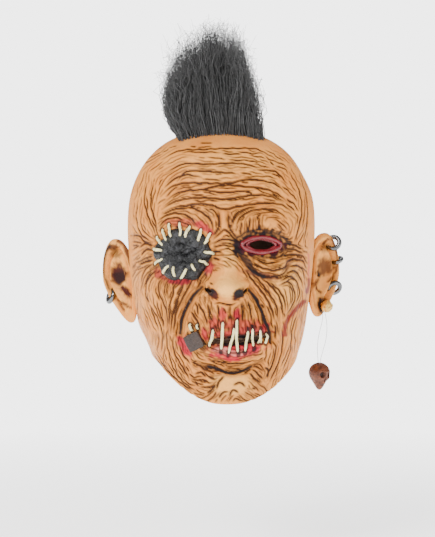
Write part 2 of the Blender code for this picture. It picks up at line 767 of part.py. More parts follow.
def make_thread(nylon):
    """Open loop of thread over the post and through the pendant."""
    route = np.array([thread_place(**dict(zip(THREAD_COLUMNS, row))) for row in THREAD_ROUTE])
    steps = np.linalg.norm(np.diff(route, axis=0), axis=1)
    knots = np.concatenate(([0.0], np.cumsum(steps)))
    count = THREAD_POINTS_EACH * (len(knots) - 1)
    where = np.interp(np.arange(count + 1) / THREAD_POINTS_EACH, np.arange(len(knots)), knots)
    points = np.stack([spline(knots, route[:, axis], where) for axis in range(3)], axis=1)
    curve = bpy.data.curves.new("thread_loop", "CURVE")
    curve.dimensions = "3D"
    curve.bevel_depth = THREAD_DIAMETER / 2.0
    curve.bevel_resolution = 2
    curve.use_fill_caps = True
    line = curve.splines.new("POLY")
    line.points.add(len(points) - 1)
    for knot, point in zip(line.points, points):
        knot.co = (*point, 1.0)
    thread = bpy.data.objects.new("thread_loop", curve)
    bpy.context.scene.collection.objects.link(thread)
    curve.materials.append(nylon)


def make_pendant(bone):
    """Small skull: a round braincase, a jaw, two eye hollows and a bore in its crown."""
    turn = thread_place(*THREAD_TURN)
    half_width = PENDANT_WIDTH / 2.0
    half_depth = PENDANT_DEPTH / 2.0
    skull = bmesh.new()
    bmesh.ops.create_icosphere(skull, subdivisions=3, radius=1.0)
    case_height = PENDANT_HEIGHT * PENDANT_CASE
    centre_z = turn.z + PENDANT_SINK - case_height
    for vertex in skull.verts:
        x, y, z = vertex.co
        jaw = smooth_step(*PENDANT_JAW, -z)
        wide = half_width * (1.0 - PENDANT_JAW_NARROWING * jaw)
        deep = half_depth * (1.0 - PENDANT_JAW_SHALLOWING * jaw)
        drop = case_height * z if z > 0.0 else (PENDANT_HEIGHT - case_height) * z
        dent = 0.0
        for row in PENDANT_HOLLOWS:
            hollow = named(HOLLOW_COLUMNS, row)
            sideways = (abs(x) - hollow.across) / hollow.wide
            upright = (z - hollow.up) / hollow.tall
            if y < 0.0:
                dent += hollow.deep * math.exp(-sideways ** 2 - upright ** 2)
        vertex.co = (wide * x, deep * y * (1.0 - dent), drop)
    swing = Matrix.Rotation(PENDANT_SWING, 3, "Z")
    bmesh.ops.rotate(skull, verts=skull.verts, matrix=swing)
    bmesh.ops.translate(skull, verts=skull.verts, vec=(turn.x, turn.y, centre_z))
    mesh = bpy.data.meshes.new("skull_pendant")
    skull.to_mesh(mesh)
    skull.free()
    pendant = add_object("skull_pendant", mesh, bone)
    floor = turn - Vector((0.0, 0.0, THREAD_DIAMETER / 2.0 + SEAT_GAP))
    ends = [floor, floor + Vector((0.0, 0.0, PENDANT_SINK + PENDANT_BORE_RISE))]
    rows = tube_rows(ends, [PENDANT_BORE_RADIUS] * 2, PENDANT_BORE_SIDES)
    bore = grid_mesh("pendant_bore", rows, *ends)
    combine(pendant, add_object("pendant_bore", bore), "DIFFERENCE")


def seat(piece, grown):
    """Cut a piece where it would enter the skin, leaving SEAT_GAP."""
    combine(piece, grown, "DIFFERENCE")


def patch_point(ring, step, height):
    """Point over the patch's place, so far from the middle and so high over the skin."""
    angle = step / len(PATCH_EDGE_SHARES) * 2.0 * math.pi
    reach = PATCH_EDGE_SHARES[step] * ring
    across = PATCH_PLACE[0] + PATCH_HALF_WIDTH / HALF_WIDTH * reach * math.cos(angle)
    down = PATCH_PLACE[1] - PATCH_HALF_HEIGHT / SKIN_HEIGHT * reach * math.sin(angle)
    point, normal = place_on_face(across, down)
    return point + normal * height


def make_patch(grown, leather):
    """Lumpy domed patch over the left eye."""
    steps = range(len(PATCH_EDGE_SHARES))
    rows = []
    for level in PATCH_PROFILE:
        part = named(PATCH_PROFILE_COLUMNS, level)
        row = []
        for step in steps:
            angle = step / len(PATCH_EDGE_SHARES) * 2.0 * math.pi
            swell = PATCH_LUMP_COUNT * angle + PATCH_LUMP_TWIST * part.ring
            height = PATCH_DOME * part.proud * (1.0 + PATCH_LUMPS * math.sin(swell))
            row.append(patch_point(part.ring, step, PATCH_EDGE + height))
        rows.append(row)
    for ring in PATCH_BACK_INSETS:
        rows.append([patch_point(ring, step, -PATCH_SINK) for step in steps])
    top = patch_point(0.0, 0, PATCH_EDGE + PATCH_DOME * PATCH_MIDDLE)
    bottom = patch_point(0.0, 0, -PATCH_SINK)
    patch = add_object("eye_patch", grid_mesh("eye_patch", rows, top, bottom), leather)
    seat(patch, grown)


def make_tag(grown, leather):
    """Square block fixed at the left corner of the mouth."""
    point, normal = place_on_face(*TAG_PLACE)
    across = Vector((math.cos(TAG_TURN), 0.0, math.sin(TAG_TURN)))
    across = (across - normal * across.dot(normal)).normalized()
    up = normal.cross(across)
    levels = ((TAG_THICKNESS, TAG_BEVEL), (TAG_THICKNESS - TAG_BEVEL, 0.0), (-TAG_SINK, 0.0))
    rows = []
    for height, inset in levels:
        corner = TAG_SIDE / 2.0 - inset
        row = []
        for step in range(8):
            angle = (step + 0.5) / 8 * 2.0 * math.pi
            right = max(-corner, min(corner, math.cos(angle) * TAG_SIDE))
            rise = max(-corner, min(corner, math.sin(angle) * TAG_SIDE))
            row.append(point + across * right + up * rise + normal * height)
        rows.append(row)
    top = point + normal * TAG_THICKNESS
    bottom = point - normal * TAG_SINK
    tag = add_object("mouth_tag", grid_mesh("mouth_tag", rows, top, bottom), leather)
    seat(tag, grown)


def strip_half_width(share):
    """Half width of the hair strip from its front to its back."""
    return HAIR_HALF_WIDTH * (1.0 - HAIR_BACK_NARROWING * share ** 2)


def crown_height(tree, x, y):
    """Height of the skin under a place on the hair strip."""
    hit = tree.ray_cast(Vector((x, y, RAY_HEIGHT)), Vector((0.0, 0.0, -1.0)))
    return hit[0].z


def backing_mesh(tree):
    """Curved strip that carries the hair, sunk a little into the skin before its cut."""
    middle = 0.5 * (HAIR_FRONT + HAIR_BACK)
    rows = []
    levels = [(inset, BACKING_THICKNESS) for inset in BACKING_INSETS]
    levels.append((1.0, -BACKING_SINK))
    for inset, level in levels:
        row = []
        for side in (-1.0, 1.0):
            for step in range(BACKING_STEPS + 1):
                along = step / BACKING_STEPS
                share = along if side < 0.0 else 1.0 - along
                y = middle + (share - 0.5) * (HAIR_BACK - HAIR_FRONT) * inset
                x = side * strip_half_width(share) * inset
                row.append((x, y, crown_height(tree, x, y) + level))
        rows.append(row)
    top_z = crown_height(tree, 0.0, middle)
    top = (0.0, middle, top_z + BACKING_THICKNESS)
    bottom = (0.0, middle, top_z - BACKING_SINK)
    return grid_mesh("mohawk", rows, top, bottom)


def lock_mesh(name, root, tip, bend):
    """One tapering lock of hair."""
    root = Vector(root)
    run = Vector(tip) - root
    points = []
    radii = []
    for row in LOCK_PROFILE:
        part = named(LOCK_PROFILE_COLUMNS, row)
        points.append(root + run * part.along + bend * math.sin(math.pi * part.along))
        radii.append(LOCK_RADIUS * part.radius)
    rows = tube_rows(points, radii, LOCK_SIDES)
    for point, row in zip(points, rows):
        for spot in row:
            spot.y = point.y + (spot.y - point.y) * LOCK_LENGTHENING
    return grid_mesh(name, rows, points[0], points[-1] + run.normalized() * LOCK_TIP)


def make_mohawk(tree, grown, hair):
    """Five rows of locks on one backing strip over the crown."""
    mohawk = add_object("mohawk", backing_mesh(tree), hair)
    for row, row_shares in enumerate(LOCKS_ALONG):
        along = named(LOCK_ALONG_COLUMNS, row_shares)
        y = HAIR_FRONT + (HAIR_BACK - HAIR_FRONT) * along.root
        half = strip_half_width(along.root)
        for column, column_shares in enumerate(LOCKS_ACROSS):
            across = named(LOCK_ACROSS_COLUMNS, column_shares)
            x = across.root * half
            stagger = LOCK_STAGGER * (-1) ** (row + column)
            base = crown_height(tree, x, y + stagger)
            tip_z = HAIR_HEIGHT * across.height * along.height
            tip = (across.tip * half, y + along.back * HAIR_HEIGHT - stagger, tip_z)
            bend_x = LOCK_BEND_OUT * across.root + LOCK_BEND_ROW * row
            bend = Vector((bend_x, LOCK_BEND_BACK * (column - LOCK_BEND_MIDDLE), 0.0))
            name = "lock_%d_%d" % (row, column)
            mesh = lock_mesh(name, (x, y + stagger, base - LOCK_SINK), tip, bend)
            combine(mohawk, add_object(name, mesh), "UNION")
    seat(mohawk, grown)


def make_skin(latex):
    """Latex head: solid form joined with the ears, then hollowed and pierced."""
    outer = head_solid("mask_skin", 0.0, SKIN_COLUMNS, SKIN_ROWS, 0.0)
    skin = add_object("mask_skin", outer, latex)
    for ear in EARS:
        combine(skin, ear_solid(ear), "UNION")
    inner = head_solid("cavity", -WALL, CAVITY_COLUMNS, CAVITY_ROWS, CAVITY_PAST_RIM)
    combine(skin, add_object("cavity", inner), "DIFFERENCE")
    combine(skin, eye_cutter(), "DIFFERENCE")
    for index, place in enumerate(NOSTRIL_PLACES):
        combine(skin, nostril_cutter(index, place), "DIFFERENCE")
    combine(skin, mouth_cutter(), "DIFFERENCE")
    return skin


def main():
    """Build every piece."""
    clear_scene()
    latex = make_material("latex_skin", (0.62, 0.36, 0.17), 0.55)
    leather = make_material("black_patch", (0.02, 0.02, 0.022), 0.5)
    brown = make_material("brown_block", (0.10, 0.06, 0.04), 0.7)
    steel = make_material("ring_steel", (0.60, 0.60, 0.60), 0.25, 1.0)
    gold = make_material("gold_nugget", (0.80, 0.58, 0.20), 0.35, 1.0)
    nylon = make_material("clear_nylon", (0.85, 0.85, 0.85), 0.2)
    bone = make_material("dark_resin", (0.24, 0.10, 0.06), 0.5)
    hair = make_material("black_hair", (0.012, 0.012, 0.012), 0.6)

    skin = make_skin(latex)
    grown_mesh = head_solid("grown_head", SEAT_GAP, SKIN_COLUMNS, SKIN_ROWS, 0.0)
    grown = as_tool(add_object("grown_head", grown_mesh))
    bare = bmesh.new()
    bare.from_mesh(grown_mesh)
    tree = BVHTree.FromBMesh(bare)
    bare.free()

    make_patch(grown, leather)
    make_tag(grown, brown)
    make_rings(skin, steel)
    make_stud(skin, gold)
    make_thread(nylon)
    make_pendant(bone)
    make_mohawk(tree, grown, hair)


main()
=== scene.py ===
"""Looks of the punk latex mask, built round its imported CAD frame.

Units are metres, +Z is up, and the face looks along -Y. Places on the face that come
from the photograph are pixels of its 435 by 537 frame, x to the right and y down.
"""
import math
import random

import bpy
import numpy as np
from bpy.props import (
    FloatProperty, FloatVectorProperty, IntProperty, PointerProperty)
from mathutils import Matrix, Vector, noise
from mathutils.bvhtree import BVHTree
from mathutils.kdtree import KDTree


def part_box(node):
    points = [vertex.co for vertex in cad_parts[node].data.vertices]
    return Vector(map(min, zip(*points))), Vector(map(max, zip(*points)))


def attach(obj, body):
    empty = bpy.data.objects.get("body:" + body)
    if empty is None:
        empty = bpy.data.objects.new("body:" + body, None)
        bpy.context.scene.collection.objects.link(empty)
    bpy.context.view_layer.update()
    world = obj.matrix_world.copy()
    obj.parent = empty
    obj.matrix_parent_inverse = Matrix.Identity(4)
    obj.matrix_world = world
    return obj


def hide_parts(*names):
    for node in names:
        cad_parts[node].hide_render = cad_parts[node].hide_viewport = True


bl_info = {
    "name": "Punk Latex Mask",
    "version": (1, 0, 0),
    "blender": (4, 5, 0),
    "location": "3D View > Sidebar > Mask",
    "description": "Latex skin, patch, stitches, ear rings, pendant and hair of a mask",
    "category": "Object",
}

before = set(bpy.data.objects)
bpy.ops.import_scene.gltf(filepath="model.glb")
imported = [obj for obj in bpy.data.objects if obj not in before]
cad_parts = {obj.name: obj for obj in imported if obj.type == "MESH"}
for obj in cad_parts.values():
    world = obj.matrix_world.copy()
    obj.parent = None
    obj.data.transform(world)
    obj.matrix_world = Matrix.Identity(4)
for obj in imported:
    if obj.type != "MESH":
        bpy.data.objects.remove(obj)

# Camera of the photograph: its frame in pixels, the real size of one pixel at the
# middle of the mask, and where the middle of the frame lies.
PHOTO_WIDTH = 435
PHOTO_HEIGHT = 537
PIXEL = 0.001045
CAMERA_AZIMUTH = math.radians(-4.0)
CAMERA_DISTANCE = 2.0
FRAME_MIDDLE_ACROSS = -0.00366
FRAME_MIDDLE_HEIGHT = -0.1422
SENSOR = 36.0

# The latex head, as in its CAD solid
HALF_WIDTH = 0.0975
FRONT_DEPTH = 0.105
BACK_DEPTH = 0.118
SKIN_HEIGHT = 0.281
WALL = 0.0024
FACE_WALL_EXTRA = 0.0007
RELIEF = 0.010
SIDE_RIM_DROP = 0.2345
FRONT_RIM_DROP = 0.0464
BACK_RIM_DROP = 0.010
RIM_POWER = 1.8
FRONT_SQUARENESS = 2.35
BACK_SQUARENESS = 2.1
# Columns: down, left, right, front, back.
SECTIONS = (
    (0.000, 0.000, 0.000, 0.000, 0.000),
    (0.008, 0.270, 0.260, 0.240, 0.290),
    (0.032, 0.504, 0.482, 0.440, 0.530),
    (0.085, 0.725, 0.705, 0.660, 0.760),
    (0.165, 0.890, 0.865, 0.815, 0.900),
    (0.250, 0.975, 0.970, 0.900, 0.970),
    (0.350, 1.000, 0.997, 0.950, 1.000),
    (0.450, 0.990, 0.985, 0.950, 0.985),
    (0.550, 0.965, 0.960, 0.945, 0.930),
    (0.660, 0.915, 0.920, 0.950, 0.830),
    (0.730, 0.870, 0.890, 0.945, 0.765),
    (0.780, 0.800, 0.858, 0.935, 0.725),
    (0.830, 0.745, 0.813, 0.915, 0.700),
    (0.900, 0.705, 0.770, 0.870, 0.690),
    (1.000, 0.665, 0.730, 0.780, 0.690),
    (1.100, 0.640, 0.705, 0.680, 0.690),
)
# Columns: across, down, wide, tall, proud, blunt.
FEATURES = (
    (-0.390, 0.358, 0.310, 0.039, 0.60, 2.0),  # left brow
    (0.370, 0.354, 0.280, 0.039, 0.65, 2.0),  # right brow
    (0.000, 0.365, 0.110, 0.046, 0.30, 2.0),  # between the brows
    (-0.430, 0.450, 0.250, 0.057, -0.45, 2.0),  # left eye socket, under the patch
    (0.370, 0.429, 0.220, 0.043, -0.90, 2.0),  # right eye socket
    (0.430, 0.511, 0.220, 0.032, 0.40, 2.0),  # bag under the right eye
    (-0.600, 0.571, 0.200, 0.085, 0.40, 2.0),  # left cheekbone
    (0.600, 0.571, 0.200, 0.085, 0.40, 2.0),  # right cheekbone
    (-0.015, 0.490, 0.125, 0.085, 1.15, 2.4),  # bridge of the nose
    (-0.020, 0.585, 0.165, 0.050, 1.60, 2.8),  # ball of the nose
    (-0.020, 0.592, 0.270, 0.034, 1.00, 3.0),  # wings of the nose
    (0.000, 0.738, 0.430, 0.092, 0.65, 2.0),  # muzzle
    (-0.570, 0.685, 0.140, 0.085, 0.40, 2.0),  # left cheek pad
    (0.530, 0.685, 0.140, 0.085, 0.40, 2.0),  # right cheek pad
    (0.080, 0.767, 0.410, 0.024, -0.55, 2.0),  # groove of the mouth
    (0.100, 0.813, 0.250, 0.028, 0.40, 2.0),  # lower lip
    (0.040, 0.868, 0.330, 0.026, -0.40, 2.0),  # crease over the chin
    (0.040, 0.927, 0.250, 0.046, 0.75, 2.0),  # chin
)
FOLD_WIDTH = 0.0062
FOLD_DEPTH = 0.0042
FOLDS = (
    ((-0.274, 0.580), (-0.420, 0.645), (-0.486, 0.701), (-0.492, 0.758)),
    ((0.236, 0.588), (0.328, 0.651), (0.387, 0.708), (0.444, 0.743)),
)
EYE_PLACE = (0.365, 0.431)
EYE_HALF_LENGTH = 0.0135
EYE_HALF_HEIGHT = 0.0055
PATCH_PLACE = (-0.450, 0.463)
PATCH_HALF_WIDTH = 0.0278
PATCH_HALF_HEIGHT = 0.0272
PATCH_DOME = 0.0058
PATCH_EDGE = 0.0016
PATCH_EDGE_SHARES = (1.00, 0.94, 0.99, 0.96, 0.86, 0.99, 0.88, 1.00, 1.05, 0.93, 1.02, 1.04,
                     0.90, 1.03, 0.95, 0.90)
TAG_PLACE = (-0.335, 0.771)
TAG_SIDE = 0.0172
TAG_THICKNESS = 0.0060
TAG_TURN = math.radians(27.0)
NOSTRIL_RADIUS = 0.0032
NOSTRIL_PLACES = ((-0.205, 0.592), (0.160, 0.592))
MOUTH_SLIT_HEIGHT = 0.0032
MOUTH_SLIT = ((-0.175, 0.771), (0.120, 0.770), (0.400, 0.755))

# The ears, as in the CAD solid
EAR_HALF_HEIGHT = 0.0445
EAR_HALF_WIDTH = 0.0240
EAR_SET_IN = 0.003
EAR_THICKNESS = 0.0036
HELIX_ROLL = 0.0036
CONCHA_DEPTH = 0.0075
CONCHA_BACK = 0.012
EARS = {
    "left": (-1.0, 0.560, math.radians(11.0), math.radians(42.0), 0.42),
    "right": (1.0, 0.538, math.radians(7.0), math.radians(52.0), 0.12),
}
EAR_MIDDLE = 0.80
EAR_REACH = 0.86
LOBE_NARROWING = 0.42
LOBE_ROUNDING = 0.25
LOBE_POWER = 1.3
RING_SEAT = 0.97
RING_INNER = 0.80
RINGS = {
    "ear_ring_left": ("left", math.radians(-22.0), 0.0064, 0.0025, math.radians(-55.0)),
    "ear_ring_top": ("right", math.radians(52.0), 0.0064, 0.0025, math.radians(35.0)),
    "ear_ring_middle": ("right", math.radians(21.0), 0.0048, 0.0021, 0.0),
    "ear_ring_low": ("right", math.radians(-19.0), 0.0064, 0.0025, math.radians(-55.0)),
}
STUD_PLACE = (0.12, -0.74)
NUGGET_RADIUS = 0.0062
NUGGET_BACK = 0.78
POST_RADIUS = 0.0007
POST_LENGTH = 0.0075
THREAD_STAND_OFF = 0.0032
THREAD_DIAMETER = 0.0005
THREAD_TURN = (-0.0021, -0.0028, -0.0640)
# Columns: outward, face, up.
THREAD_ROUTE = (
    (-0.00035, 0.0000, 0.00122),
    (-0.00110, 0.0000, 0.00064),
    (-0.00128, 0.0000, -0.0004),
    (-0.00130, 0.0005, -0.0030),
    (-0.0014, 0.0016, -0.0100),
    (-0.0018, 0.0012, -0.0160),
    (-0.0024, -0.0012, -0.0250),
    (-0.0031, -0.0036, -0.0360),
    (-0.0034, -0.0044, -0.0480),
    (-0.0028, -0.0038, -0.0590),
    (-0.0027, -0.0036, -0.0630),
    (-0.00245, -0.0033, -0.0637),
    (-0.0021, -0.0028, -0.0640),
    (-0.00175, -0.0023, -0.0637),
    (-0.0015, -0.0020, -0.0630),
    (-0.0015, -0.0020, -0.0590),
    (0.0002, 0.0002, -0.0480),
    (0.0022, 0.0026, -0.0360),
    (0.0030, 0.0036, -0.0220),
    (0.0022, 0.0026, -0.0110),
    (0.00140, 0.0006, -0.0030),
    (0.00128, 0.0000, -0.0004),
    (0.00110, 0.0000, 0.00064),
    (0.00035, 0.0000, 0.00122),
)
THREAD_POINTS_EACH = 3
PENDANT_HEIGHT = 0.029
PENDANT_WIDTH = 0.0215
PENDANT_DEPTH = 0.0235
PENDANT_SINK = 0.0040
PENDANT_SWING = math.radians(38.0)

# The hair strip and its locks, as in the CAD solid
HAIR_FRONT = -0.046
HAIR_BACK = 0.086
HAIR_HALF_WIDTH = 0.0455
HAIR_BACK_NARROWING = 0.35
HAIR_HEIGHT = 0.103
LOCKS_ACROSS = (
    (-0.76, -1.08, 0.74),
    (-0.40, -0.64, 0.91),
    (-0.02, -0.12, 1.00),
    (0.35, 0.26, 0.93),
    (0.70, 0.47, 0.77),
)
CORE_MIDDLE = 0.02
LOCKS_ALONG = (
    (0.13, -0.05, 0.95),
    (0.40, 0.03, 1.00),
    (0.66, 0.13, 0.92),
    (0.90, 0.27, 0.70),
)

# Spacing of the skin's grid, and shares of SKIN_HEIGHT down where its rows change
FACE_STEP = 0.00100
SIDE_STEP = 0.0027
BACK_STEP = 0.0090
CROWN_STEP = 0.0028
HEAD_RADIUS = 0.100
CROWN_ROWS_END = 0.055
LEVEL_ROWS_END = 0.62
CAVITY_COLUMNS = 60
CAVITY_ROWS = (8, 14, 16)
CAVITY_PAST_RIM = 0.012

# Lines on the face that more than one table uses
UPPER_LINE = ((165.7, 172.1), (181.0, 163.8), (206.5, 163.4), (244.8, 163.4), (263.9, 168.3))
LEFT_FROWN = ((218.0, 210.4), (219.3, 219.3), (217.3, 230.0), (212.9, 235.9))
RIGHT_FROWN = ((228.9, 211.6), (228.2, 219.3), (230.8, 229.5), (238.4, 238.4))
CHEEK_LINE = ((251.3, 272.8), (260.3, 281.3), (269.6, 293.5), (276.3, 304.7), (279.3, 320.6))
LEFT_FOLD = ((201.5, 286.5), (193.5, 295.5), (186.8, 306.0), (181.2, 319.5), (179.6, 334.0))

